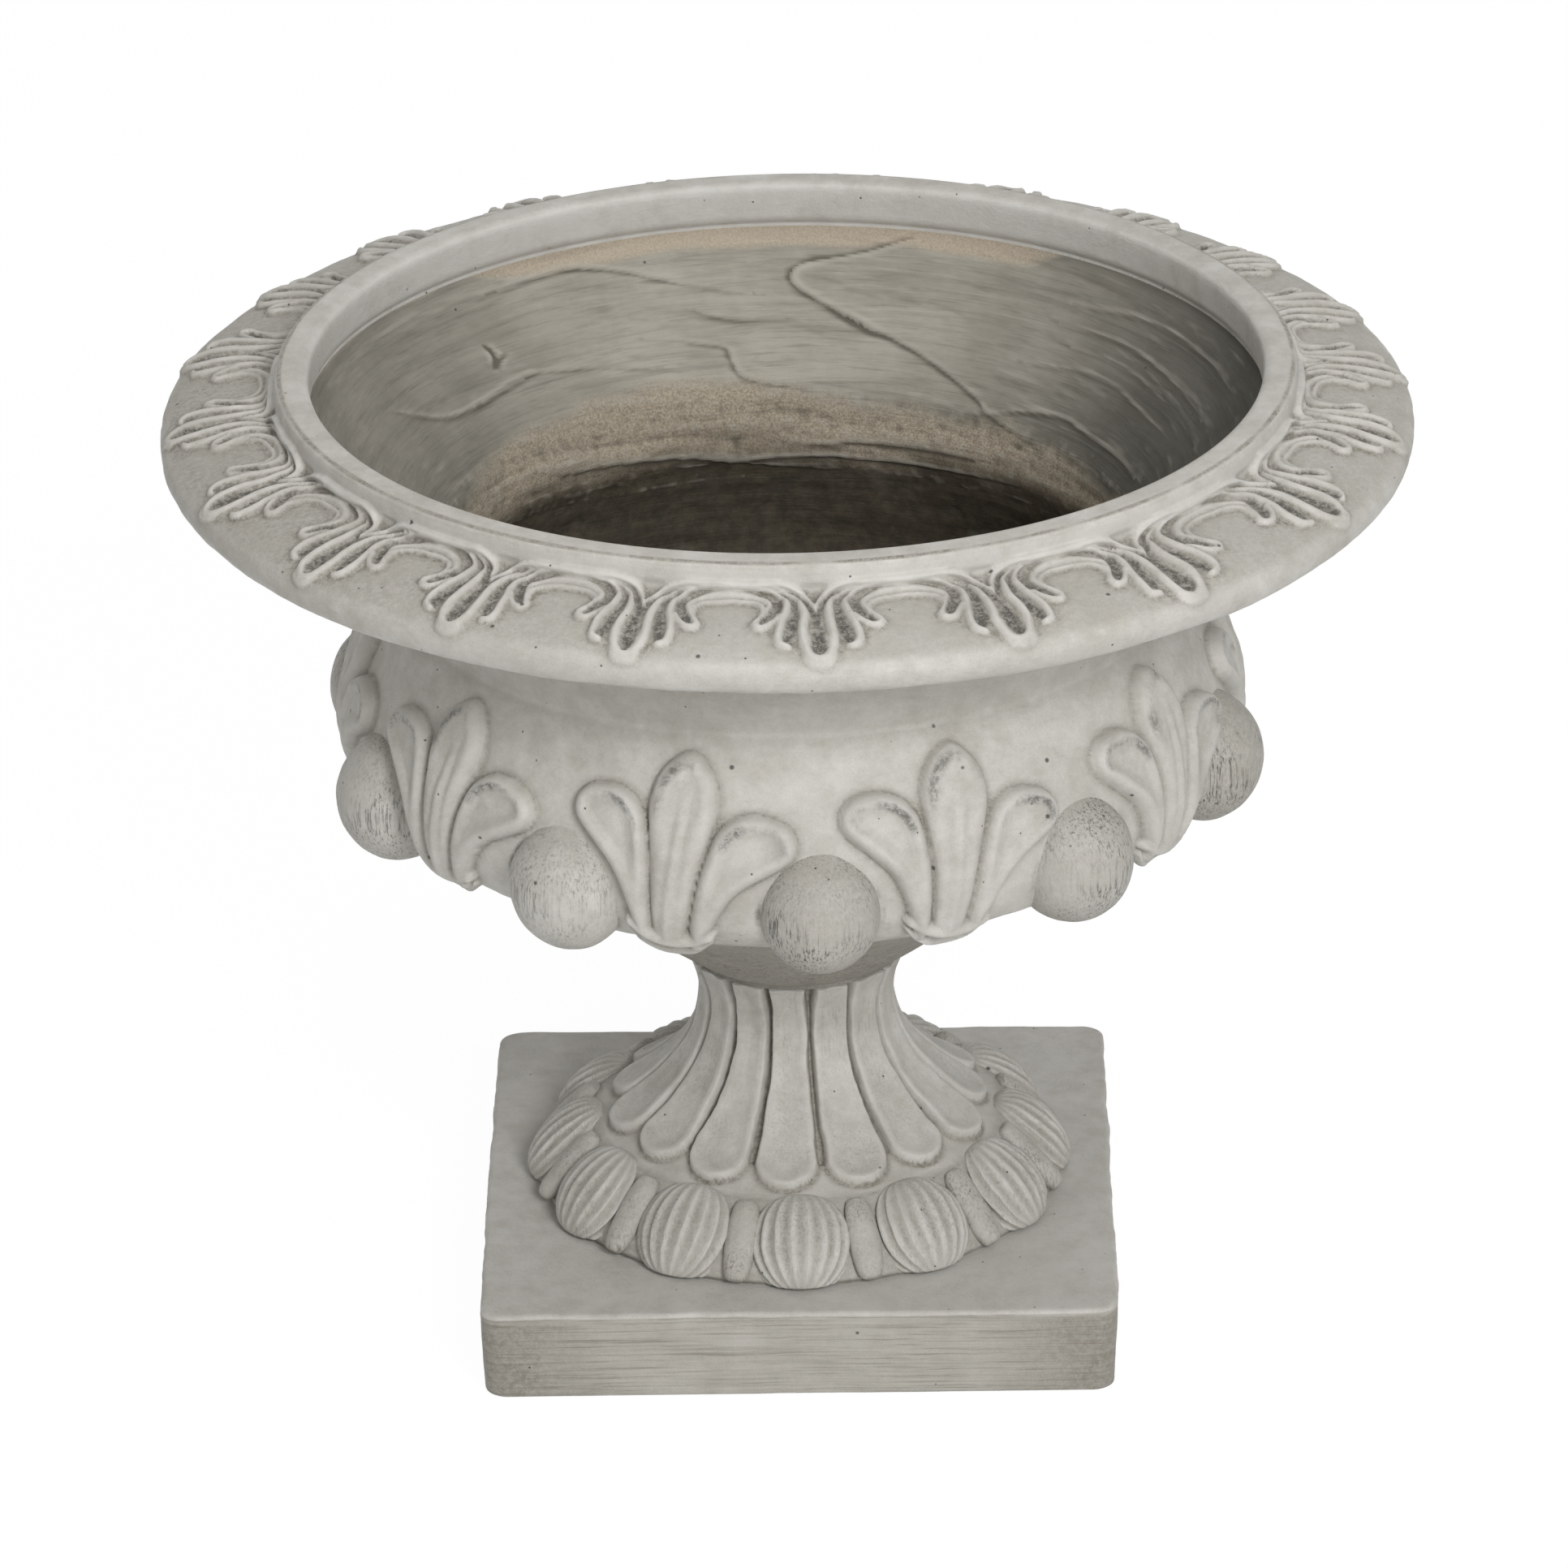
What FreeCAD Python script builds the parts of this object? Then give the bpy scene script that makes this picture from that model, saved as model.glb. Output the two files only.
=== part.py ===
import FreeCAD, Part
import math
import os

# Pedestal flower pot in cast concrete: a bowl with palmettes and balls, a fluted
# pedestal with an egg-and-dart foot, and a square plinth, bedded in mortar on dowels.
# Millimetres, +Z up, origin at the middle of the underside of the plinth.

V = FreeCAD.Vector

# Plinth
PLINTH_SIDE = 273.5
PLINTH_H = 40.0
PLINTH_DRAFT = 1.8
PLINTH_CORNER = 9.0
PLINTH_EDGE = 2.5

# Pedestal: foot ring, waist and neck
FOOT_BED = 2.0
FOOT_R = 113.0
FOOT_H = 28.0
FOOT_TOP_R = 88.0
WAIST_R = 42.5
NECK_R = 47.0
NECK_Z = 149.0
NECK_BED = 2.5
BED_BACK = 1.5

# Relief on the pedestal
FLUTES = 15
FLUTE_TURN = -3.9
FLUTE_RELIEF = 4.0
FLUTE_GAP = 2.4
FLUTE_END_R = 73.0
FLUTE_END_OUT = 11.0
FLUTE_START_R = 25.0
EGGS = 12
EGG_TURN = 0.9
EGG_R = 30.0
EGG_AT_R = 88.5
DART_R = 5.6
DART_RELIEF = 1.0
DART_OUT = 4.0

# Bowl: overall, rim and lip
HEIGHT = 424.0
RIM_R = 265.0
RIM_WIDTH = 49.0
RIM_H = 53.0
RIM_DROP = 14.0
RIM_ROLL = 9.0
RIM_CROWN = 2.5
LIP_H = 15.0
LIP_T = 14.5
LIP_FLARE = 2.0
LIP_ROUND = 2.5
LIP_FACE = 17.0
LIP_SETBACK = 3.0

# Bowl: cove, belly, underside and wall
COVE_R = 166.0
COVE_OUT = 36.0
COVE_SHARE = 0.6734
BULGE = 22.0
STEP_SHARE = 0.3211
STEP_IN = 14.0
STEP_DROP = 6.0
UNDER_SAG = 3.0
FOOT_CHAMFER = 2.5
WALL = 22.0
FLOOR_T = 25.5
FLOOR_R = 40.0

# Relief on the belly
BALLS = 10
BALL_TURN = 3.8
BALL_R = 27.0
BALL_SUNK = 5.0
BALL_UP = 16.5
PALMETTE_SLANT = 6.3
COLLAR_HALF = 17.5
COLLAR_UP = 2.6
COLLAR_RISE = 6.4
COLLAR_R = 4.2
COLLAR_PROUD = 1.3

# Scrolls of the rim: the turns of the darts between them, set out by hand
SCROLL_TURN = 0.6
SCROLL_DARTS = [-136, -120.2, -101.8, -83.7, -66.5, -49.2, -31.8, -14.9, 2.5, 20.7, 38.5]
SCROLL_DARTS += [60.3, 77.8, 94.2, 110, 125.5, 140, 156.8, 173.6, 190.4, 207.2]

# Drain sleeve and dowels
SLEEVE_R = 10.0
SLEEVE_WALL = 2.0
SLEEVE_FIT = 0.4
SLEEVE_SHORT = 6.0
FLANGE_R = 18.0
FLANGE_T = 3.0
NECK_DOWELS = 3
NECK_DOWEL_R = 4.0
NECK_DOWEL_LEN = 44.0
NECK_DOWEL_AT_R = 27.0
FOOT_DOWELS = 4
FOOT_DOWEL_R = 5.0
FOOT_DOWEL_LEN = 48.0
FOOT_DOWEL_AT_R = 60.0

# Outlines: share of the way out, share of the way up
BELLY_FORM = [(0, 1), (0.02, 0.861), (0.32, 0.733), (0.68, 0.584)]
BELLY_FORM += [(0.93, 0.416), (1, 0.257), (0.886, 0.119), (0.545, 0)]
COVE_FORM = [(1, 1), (0.39, 0.64), (0.055, 0.28), (0, 0)]
SHOULDER_FORM = [(0.69, 0.68), (0.31, 0.38), (0.1, 0.16)]
STEM_FORM = [(0, 0.722), (0.055, 0.55), (0.187, 0.391), (0.374, 0.258)]
STEM_FORM += [(0.604, 0.139), (0.824, 0.053), (1, 0)]
FOOT_FORM = [(0.34, 0.75), (0.68, 0.46), (0.9, 0.2)]
COLLAR_FORM = [(-1, 1), (-0.5, 0.25), (0, 0), (0.5, 0.25), (1, 1)]

# Petals: across from the middle, up from the step, half width, relief
MIDDLE_PETAL = [(0, 3, 5.5, 4), (0, 17, 7.2, 6), (0, 32, 9.6, 7), (0, 47, 13.6, 7.5)]
MIDDLE_PETAL += [(0, 58.5, 16.2, 7.5), (0, 69, 13.2, 6.5), (0, 77, 6.8, 4.5), (0, 81.5, 1.6, 1.4)]
SIDE_PETAL = [(11, 6, 4, 3.5), (13.7, 17, 5.6, 5), (18, 30, 8, 6.2), (25, 43, 12, 7)]
SIDE_PETAL += [(32.5, 50.5, 14, 7), (38.5, 55, 11.5, 6), (43, 58.5, 6.5, 4), (45, 60, 1.6, 1.2)]

# Scrolls: share of the way to the next dart, share of the way over the rim, half width, relief
SCROLL_ARCH = [(-0.44, 0.57, 1.8, 1.5), (-0.5, 0.45, 2.4, 2.2), (-0.48, 0.34, 2.6, 2.4)]
SCROLL_ARCH += [(-0.36, 0.187, 2.6, 2.4), (-0.18, 0.097, 2.6, 2.4), (0, 0.073, 2.6, 2.4)]
SCROLL_ARCH += [(0.18, 0.097, 2.6, 2.4), (0.36, 0.187, 2.6, 2.4), (0.48, 0.34, 2.6, 2.4)]
SCROLL_ARCH += [(0.5, 0.45, 2.4, 2.2), (0.44, 0.57, 1.8, 1.5)]
SCROLL_LEG = [(0.59, 0.022, 3, 2.2), (0.75, 0.253, 4, 2.5), (0.81, 0.463, 5.4, 2.6)]
SCROLL_LEG += [(0.77, 0.639, 6.4, 2.6), (0.73, 0.77, 6, 2.3), (0.7, 0.88, 2.6, 1.4)]

# Levels and radii that follow from these sizes
FOOT_Z = PLINTH_H + FOOT_BED
FOOT_TOP_Z = FOOT_Z + FOOT_H
BOWL_Z = NECK_Z + NECK_BED
FLOOR_Z = BOWL_Z + FLOOR_T
STEP_Z = BOWL_Z + STEP_SHARE * (HEIGHT - BOWL_Z)
COVE_Z = BOWL_Z + COVE_SHARE * (HEIGHT - BOWL_Z)
LIP_OUT_R = RIM_R - RIM_WIDTH
LIP_IN_R = LIP_OUT_R - LIP_T


def pt(r, z):
    return V(r, 0, z)


def line(a, b):
    return Part.makeLine(pt(*a), pt(*b))


def arc(a, b, c):
    return Part.Arc(pt(*a), pt(*b), pt(*c)).toShape()


def curve(points):
    c = Part.BSplineCurve()
    c.interpolate([pt(*p) for p in points])
    return c.toShape()


def between(a, b, form):
    # Points at shares of the way from a to b, across and up.
    return [(a[0] + (b[0] - a[0]) * x, a[1] + (b[1] - a[1]) * y) for x, y in form]


def bowed(a, b, by):
    # Middle of the line from a to b, moved off to its right.
    dr, dz = b[0] - a[0], b[1] - a[1]
    n = math.hypot(dr, dz)
    return ((a[0] + b[0]) / 2 + dz / n * by, (a[1] + b[1]) / 2 - dr / n * by)


def outward(points, by):
    # Points moved out along the normal of the curve through them.
    out = []
    for i, (r, z) in enumerate(points):
        a = points[max(i - 1, 0)]
        b = points[min(i + 1, len(points) - 1)]
        dr, dz = b[0] - a[0], b[1] - a[1]
        n = math.hypot(dr, dz)
        out.append((r - dz / n * by, z + dr / n * by))
    return out


def corner(a, b, c):
    # Rounded corner from a to c about the sharp corner b.
    mid = tuple(p + (a[i] + c[i] - 2 * p) * (1 - math.sqrt(0.5)) for i, p in enumerate(b))
    return arc(a, mid, c)


def turned(edges):
    face = Part.Face(Part.Wire(Part.__sortEdges__(edges)))
    solid = face.revolve(V(0, 0, 0), V(0, 0, 1), 360)
    return Part.Solid(solid) if solid.ShapeType == "Shell" else solid


def spin(shape, degrees):
    s = shape.copy()
    s.rotate(V(0, 0, 0), V(0, 0, 1), degrees)
    return s


def ring(shape, count, turn):
    # The front faces -Y; a turn to the right of the viewer is positive.
    return [spin(shape, -90 + turn + i * 360.0 / count) for i in range(count)]


# Outside of the bowl, from the lip down over the rim, cove, belly and underside
belly = between((COVE_R, STEP_Z), (COVE_R + BULGE, COVE_Z), BELLY_FORM)
step = belly[-1]
under = (step[0] - STEP_IN, step[1] - STEP_DROP)
joint = (NECK_R + FOOT_CHAMFER, BOWL_Z + FOOT_CHAMFER)
under_mid = bowed(joint, under, -UNDER_SAG)
rim_top = (LIP_OUT_R + LIP_FLARE, HEIGHT - LIP_H)
rim_edge = (RIM_R - RIM_ROLL, rim_top[1] - RIM_DROP)
roll_45 = RIM_ROLL * math.sqrt(0.5)
rim_out = (rim_edge[0] + roll_45, rim_edge[1] + roll_45)
rim_low = (rim_edge[0], rim_edge[1] - RIM_ROLL)
cove_top = (COVE_R + COVE_OUT, HEIGHT - RIM_H)
lip_edge = (LIP_OUT_R - LIP_ROUND, HEIGHT)
lip_side = (LIP_OUT_R, HEIGHT - LIP_ROUND)
rim_face = arc(rim_top, bowed(rim_out, rim_top, RIM_CROWN), rim_out)
bowl_body = turned(
    [
        line((0, HEIGHT), lip_edge),
        corner(lip_edge, (LIP_OUT_R, HEIGHT), lip_side),
        line(lip_side, rim_top),
        rim_face,
        arc(rim_out, (RIM_R, rim_edge[1]), rim_low),
        line(rim_low, cove_top),
        curve(between(belly[0], cove_top, COVE_FORM)),
        curve(belly),
        line(step, under),
        arc(under, under_mid, joint),
        line(joint, (NECK_R, BOWL_Z)),
        line((NECK_R, BOWL_Z), (0, BOWL_Z)),
        line((0, BOWL_Z), (0, HEIGHT)),
    ]
)

# Inside of the bowl: moulded lip, sloping shoulder, and a well one wall in from the outside
above = HEIGHT + LIP_FACE
lip_low = (LIP_IN_R, HEIGHT - LIP_FACE)
lip_back = (LIP_IN_R + LIP_SETBACK, lip_low[1] - LIP_SETBACK)
in_edge = (LIP_IN_R + LIP_ROUND, HEIGHT)
in_side = (LIP_IN_R, HEIGHT - LIP_ROUND)
well = outward(belly, -WALL)
well_mid = outward([under, under_mid, joint], -WALL)[1]
shoulder = between(well[0], lip_back, SHOULDER_FORM)
bowl_inside = turned(
    [
        line((0, above), (in_edge[0], above)),
        line((in_edge[0], above), in_edge),
        corner(in_edge, (LIP_IN_R, HEIGHT), in_side),
        line(in_side, lip_low),
        line(lip_low, lip_back),
        curve([lip_back] + shoulder + well + [well_mid, (FLOOR_R, FLOOR_Z)]),
        line((FLOOR_R, FLOOR_Z), (0, FLOOR_Z)),
        line((0, FLOOR_Z), (0, above)),
    ]
)

# Palmettes: petals laid on the belly, each a loft through ovals across its length
belly_points = [(p.x, p.z) for p in curve(belly).discretize(80)]


def on_belly(across, up):
    # Place on the belly and the way straight out of it, for a slanted palmette.
    lean = math.radians(PALMETTE_SLANT)
    mid = (COVE_Z - STEP_Z) / 2
    side = across * math.cos(lean) + (up - mid) * math.sin(lean)
    z = STEP_Z + mid + (up - mid) * math.cos(lean) - across * math.sin(lean)
    i = min(range(1, len(belly_points) - 1), key=lambda k: abs(belly_points[k][1] - z))
    (r0, z0), (r1, z1) = belly_points[i - 1], belly_points[i + 1]
    r = r0 + (r1 - r0) * (z - z0) / (z1 - z0)
    n = math.hypot(r1 - r0, z1 - z0)
    out_r, out_z = (z0 - z1) / n, (r1 - r0) / n
    a = side / (COVE_R + BULGE)
    return V(r * math.cos(a), r * math.sin(a), z), V(out_r * math.cos(a), out_r * math.sin(a), out_z)


def laid(spots, stations):
    # A loft through ovals, each half sunk in the surface it lies on.
    ovals = []
    for i, (place, out) in enumerate(spots):
        half, relief = stations[i][2:]
        way = spots[min(i + 1, len(spots) - 1)][0] - spots[max(i - 1, 0)][0]
        wide = way.cross(out)
        wide.normalize()
        high = wide.cross(way)
        high.normalize()
        oval = Part.Ellipse(place + wide * half, place + high * relief, place)
        ovals.append(Part.Wire(oval.toShape()))
    return Part.makeLoft(ovals, True, False)


def petal(stations, side):
    return laid([on_belly(side * s[0], s[1]) for s in stations], stations)


def cord(spots, radius, proud):
    # Round cord through places on the belly.
    path = Part.BSplineCurve()
    path.interpolate([place + out * proud for place, out in spots])
    start = path.FirstParameter
    circle = Part.makeCircle(radius, path.value(start), path.tangent(start)[0])
    return Part.Wire(path.toShape()).makePipeShell([Part.Wire(circle)], True, False)


collar_spots = [on_belly(x * COLLAR_HALF, COLLAR_UP + y * COLLAR_RISE) for x, y in COLLAR_FORM]
collar = cord(collar_spots, COLLAR_R, COLLAR_PROUD)
palmette = [petal(MIDDLE_PETAL, 1), petal(SIDE_PETAL, 1), petal(SIDE_PETAL, -1), collar]
ball = Part.makeSphere(BALL_R, pt(COVE_R + BULGE - BALL_SUNK, STEP_Z + BALL_UP))
belly_relief = ring(ball, BALLS, BALL_TURN)
for piece in palmette:
    belly_relief += ring(piece, BALLS, BALL_TURN + 180.0 / BALLS)

# Scrolls: on each stretch of the rim an arch between two legs
rim_points = [(p.x, p.z) for p in rim_face.discretize(80)]


def on_rim(turn, share):
    # Place on the rim, out from the lip, and the way straight up from it.
    at = share * (len(rim_points) - 1)
    i = int(at)
    (r0, z0), (r1, z1) = rim_points[i], rim_points[i + 1]
    r, z = r0 + (r1 - r0) * (at - i), z0 + (z1 - z0) * (at - i)
    n = math.hypot(r1 - r0, z1 - z0)
    up_r, up_z = (z0 - z1) / n, (r1 - r0) / n
    a = math.radians(turn)
    return V(r * math.cos(a), r * math.sin(a), z), V(up_r * math.cos(a), up_r * math.sin(a), up_z)


def scroll(stations, half_turn):
    return laid([on_rim(s[0] * half_turn, s[1]) for s in stations], stations)


other_leg = [(-turn, share, half, relief) for turn, share, half, relief in SCROLL_LEG]
rim_relief = []
for i, dart_turn in enumerate(SCROLL_DARTS):
    following = SCROLL_DARTS[i + 1] if i + 1 < len(SCROLL_DARTS) else SCROLL_DARTS[0] + 360
    half_turn = (following - dart_turn) / 2.0
    middle = dart_turn + half_turn + SCROLL_TURN - 90
    for stations in (SCROLL_ARCH, SCROLL_LEG, other_leg):
        rim_relief.append(spin(scroll(stations, half_turn), middle))
bowl = bowl_body.multiFuse(belly_relief + rim_relief).cut(bowl_inside)

# Pedestal: core, flutes laid on it, foot ring with eggs and darts
flute_low = (FOOT_TOP_R, FOOT_TOP_Z + FLUTE_RELIEF)
flute_line = [(NECK_R, NECK_Z)] + between((WAIST_R, flute_low[1]), (FOOT_TOP_R, NECK_Z), STEM_FORM)
core_line = outward(flute_line, -FLUTE_RELIEF)
core_top = (core_line[0][0], NECK_Z)
foot_top = (FOOT_TOP_R, FOOT_TOP_Z)
foot_low = (FOOT_R, FOOT_Z)
foot_line = between((FOOT_TOP_R, FOOT_Z), (FOOT_R, FOOT_TOP_Z), FOOT_FORM)
core = turned(
    [
        line((0, NECK_Z), core_top),
        curve([core_top] + core_line[1:-1] + [foot_top]),
        curve([foot_top] + foot_line + [foot_low]),
        line(foot_low, (0, FOOT_Z)),
        line((0, FOOT_Z), (0, NECK_Z)),
    ]
)
flute_skin = turned(
    [
        line((0, NECK_Z), flute_line[0]),
        curve(flute_line),
        line(flute_low, (FOOT_TOP_R, FOOT_Z)),
        line((FOOT_TOP_R, FOOT_Z), (0, FOOT_Z)),
        line((0, FOOT_Z), (0, NECK_Z)),
    ]
)

half_angle = math.pi / FLUTES
gap_side = FLUTE_GAP / 2 / math.cos(half_angle)
end_half = FLUTE_END_R * math.tan(half_angle) - gap_side
start_half = FLUTE_START_R * math.tan(half_angle) - gap_side
start_left = V(FLUTE_START_R, -start_half, FOOT_Z)
start_right = V(FLUTE_START_R, start_half, FOOT_Z)
end_left = V(FLUTE_END_R, -end_half, FOOT_Z)
end_right = V(FLUTE_END_R, end_half, FOOT_Z)
flute_plan = [
    Part.makeLine(start_left, end_left),
    Part.Arc(end_left, V(FLUTE_END_R + FLUTE_END_OUT, 0, FOOT_Z), end_right).toShape(),
    Part.makeLine(end_right, start_right),
    Part.makeLine(start_right, start_left),
]
flute = Part.Face(Part.Wire(flute_plan)).extrude(V(0, 0, NECK_Z - FOOT_Z)).common(flute_skin)

egg = Part.makeSphere(EGG_R, pt(EGG_AT_R, FOOT_Z))


def dart_solid(a, b):
    # Long oval turned about a line just above the one from a to b.
    u = V(b[0] - a[0], 0, b[1] - a[1])
    n = V(-u.z, 0, u.x)
    n.normalize()
    mid = (pt(*a) + pt(*b)) * 0.5 + n * DART_RELIEF
    long_half = u.Length / 2
    u.normalize()
    oval = Part.Ellipse(mid + u * long_half, mid + n * DART_R, mid)
    edge = Part.ArcOfEllipse(oval, 0, math.pi).toShape()
    axis = Part.makeLine(mid - u * long_half, mid + u * long_half)
    solid = Part.Face(Part.Wire([edge, axis])).revolve(mid, u, 360)
    return solid if solid.Volume > 0 else solid.reversed()


dart = dart_solid((FOOT_TOP_R + DART_OUT, FOOT_TOP_Z), (FOOT_R + DART_OUT, FOOT_Z))
bosses = ring(flute, FLUTES, FLUTE_TURN)
bosses += ring(egg, EGGS, EGG_TURN)
bosses += ring(dart, EGGS, EGG_TURN + 180.0 / EGGS)
foot_trim = Part.makeCylinder(PLINTH_SIDE, FOOT_Z)
pedestal = core.multiFuse(bosses).cut(foot_trim)

# Plinth: a square slab, a little narrower at the ground, with rounded corners


def square(half, z):
    return Part.makePolygon([V(half * x, half * y, z) for x, y in SQUARE])


SQUARE = [(-1, -1), (1, -1), (1, 1), (-1, 1), (-1, -1)]
half_side = PLINTH_SIDE / 2
plinth = Part.makeLoft([square(half_side - PLINTH_DRAFT, 0), square(half_side, PLINTH_H)], True, True)
plinth = plinth.makeFillet(PLINTH_CORNER, [e for e in plinth.Edges if e.BoundBox.ZLength > PLINTH_H / 2])
plinth = plinth.makeFillet(PLINTH_EDGE, [e for e in plinth.Edges if e.BoundBox.ZMin > PLINTH_H / 2])

# Mortar beds
neck_mortar = Part.makeCylinder(NECK_R - BED_BACK, NECK_BED, V(0, 0, NECK_Z))
foot_mortar = Part.makeCylinder(FOOT_R - BED_BACK, FOOT_BED, V(0, 0, PLINTH_H))

# Drain sleeve: flange let into the floor of the bowl, tube down through the pedestal
flange_z = FLOOR_Z - FLANGE_T
sleeve = Part.makeCylinder(SLEEVE_R, flange_z - SLEEVE_SHORT, V(0, 0, SLEEVE_SHORT))
sleeve = sleeve.fuse(Part.makeCylinder(FLANGE_R, FLANGE_T, V(0, 0, flange_z))).removeSplitter()
sleeve = sleeve.cut(Part.makeCylinder(SLEEVE_R - SLEEVE_WALL, HEIGHT))
sleeve_way = Part.makeCylinder(SLEEVE_R + SLEEVE_FIT, HEIGHT)
flange_seat = Part.makeCylinder(FLANGE_R + SLEEVE_FIT, HEIGHT, V(0, 0, flange_z))

# Dowels set in the castings
neck_dowel_z = NECK_Z + NECK_BED / 2 - NECK_DOWEL_LEN / 2
foot_dowel_z = PLINTH_H + FOOT_BED / 2 - FOOT_DOWEL_LEN / 2
neck_dowel = Part.makeCylinder(NECK_DOWEL_R, NECK_DOWEL_LEN, V(NECK_DOWEL_AT_R, 0, neck_dowel_z))
foot_dowel = Part.makeCylinder(FOOT_DOWEL_R, FOOT_DOWEL_LEN, V(FOOT_DOWEL_AT_R, 0, foot_dowel_z))
neck_dowels = Part.makeCompound(ring(neck_dowel, NECK_DOWELS, 0))
foot_dowels = Part.makeCompound(ring(foot_dowel, FOOT_DOWELS, 180.0 / FOOT_DOWELS))

bowl = bowl.cut(flange_seat).cut(sleeve_way).cut(neck_dowels)
neck_mortar = neck_mortar.cut(sleeve_way).cut(neck_dowels)
pedestal = pedestal.cut(sleeve_way).cut(neck_dowels).cut(foot_dowels)
foot_mortar = foot_mortar.cut(sleeve_way).cut(foot_dowels)
plinth = plinth.cut(sleeve_way).cut(foot_dowels)

nodes = {
    "bowl": bowl,
    "pedestal": pedestal,
    "plinth": plinth,
    "neck_mortar": neck_mortar,
    "foot_mortar": foot_mortar,
    "drain_sleeve": sleeve,
    "neck_dowels": neck_dowels,
    "foot_dowels": foot_dowels,
}

os.makedirs("parts", exist_ok=True)
for name, shape in nodes.items():
    solids = shape.Solids
    volume = sum(s.Volume for s in solids) / 1000.0
    print(name, len(solids), "solids", shape.isValid(), round(volume, 1), "cm3")
    out = solids[0] if len(solids) == 1 else Part.makeCompound(solids)
    out.exportStep("parts/" + name + ".step")
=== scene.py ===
import math

import bpy
import numpy as np
from mathutils import Matrix, Vector


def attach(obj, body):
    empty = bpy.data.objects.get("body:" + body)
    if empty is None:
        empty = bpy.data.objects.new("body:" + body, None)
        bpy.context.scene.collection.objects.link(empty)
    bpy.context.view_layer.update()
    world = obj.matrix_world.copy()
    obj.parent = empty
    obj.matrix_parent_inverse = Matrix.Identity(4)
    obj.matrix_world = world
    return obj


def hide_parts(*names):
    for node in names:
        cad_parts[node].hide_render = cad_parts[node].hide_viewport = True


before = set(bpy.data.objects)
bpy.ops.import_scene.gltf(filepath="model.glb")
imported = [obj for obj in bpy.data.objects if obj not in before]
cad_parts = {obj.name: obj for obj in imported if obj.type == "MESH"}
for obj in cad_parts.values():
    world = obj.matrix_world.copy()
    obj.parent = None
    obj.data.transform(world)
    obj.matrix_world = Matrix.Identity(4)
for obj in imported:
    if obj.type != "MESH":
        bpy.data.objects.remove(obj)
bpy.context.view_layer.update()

# Sizes are in millimetres and angles in degrees; meshes are written in metres.
# An angle round the object is 0 at the front (-Y) and grows to the viewer's right.
MM = 0.001

# Camera, fitted to the 1932 x 1932 frame; its pitch, roll and yaw are in radians
PHOTO_PX = 1932.0
FOCAL_PX = 11680.0
SENSOR_WIDTH = 36.0
CAMERA_BACK = 3701.4
CAMERA_UP = 1957.6
CAMERA_PITCH = 0.43766
CAMERA_ROLL = -0.0178
CAMERA_YAW = -0.00107
OBJECT_TURN = 0.6

# Bowl
HEIGHT = 424.0
LIP_IN_R = 201.5
LIP_MID_R = 208.75
LIP_OUT_R = 216.0
LIP_ARRIS_R = 214.0
NECK_R = 47.0
BOWL_Z = 151.5
FLOOR_Z = 177.0
SLEEVE_HOLE_R = 10.4
FLANGE_HOLE_R = 18.4
FLANGE_Z = 174.0

# Palmettes and balls on the belly
PALMETTES = 10
PALMETTE_STEP = 360.0 / PALMETTES
PALMETTE_AT = 21.2 + OBJECT_TURN
BALL_AT = 3.2 + OBJECT_TURN
BALL_R = 26.5
BALL_OUT = 179.5
BALL_Z = 255.5
BALL_BACK = -8.0
BELLY_R = 187.0

# Pedestal
NECK_Z = 149.0
FOOT_Z = 42.0
FLUTES = 15
FLUTE_AT = -4.5 + OBJECT_TURN
FLUTE_DEEP = 4.0
FLUTE_END_R = 73.0
EGGS = 12
EGG_STEP = 360.0 / EGGS
EGG_AT = 0.3 + OBJECT_TURN

# Plinth
PLINTH_HALF = 136.75
PLINTH_H = 40.0
PLINTH_DRAFT = 1.8
PLINTH_CORNER = 9.0
PLINTH_TOP_ROUND = 2.5
PLINTH_FOOT_ROUND = 1.4

# Columns of points round each surface
RIM_COLUMNS = 1500
BELLY_COLUMNS = 1080
PLAIN_COLUMNS = 480
UNDER_COLUMNS = 360
INSIDE_COLUMNS = 960
STEM_COLUMNS = 720
PLINTH_COLUMNS = 800
HIDDEN_COLUMNS = 120


def ramp(a, b, x):
    """A smooth step from 0 at a to 1 at b."""
    t = np.clip((x - a) / (b - a), 0.0, 1.0)
    return t * t * (3.0 - 2.0 * t)


def hump(x, half):
    """A rounded bump, 1 at x = 0 and 0 from half outward."""
    return np.clip(1.0 - (x / half) ** 2, 0.0, None)


def dome(d, wide):
    """A quarter round that rises from an edge."""
    return np.sqrt(np.clip(1.0 - (1.0 - np.clip(d / wide, 0, 1)) ** 2, 0, 1))


def through(points, per_span=10):
    """A smooth line through a few points; every column is carried along."""
    p = np.array(points, float)
    e = np.vstack([2 * p[0] - p[1], p, 2 * p[-1] - p[-2]])
    t = np.linspace(0, 1, per_span, endpoint=False)[:, None]
    out = []
    for i in range(len(p) - 1):
        a, b, c, d = e[i : i + 4]
        out.append(b + 0.5 * t * (c - a + t * (2 * a - 5 * b + 4 * c - d + t * (3 * (b - c) + d - a))))
    return np.vstack(out + [p[-1:]])


def way_along(line):
    """The way from a line's start to each of its points."""
    return np.r_[0, np.cumsum(np.hypot(*np.diff(line[:, :2], axis=0).T))]


def even(line, pitch):
    """The same line with its points about pitch apart."""
    s = way_along(line)
    at = np.linspace(0, s[-1], max(1, round(s[-1] / pitch)) + 1)
    return np.stack([np.interp(at, s, line[:, k]) for k in range(line.shape[1])], 1)


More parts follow.
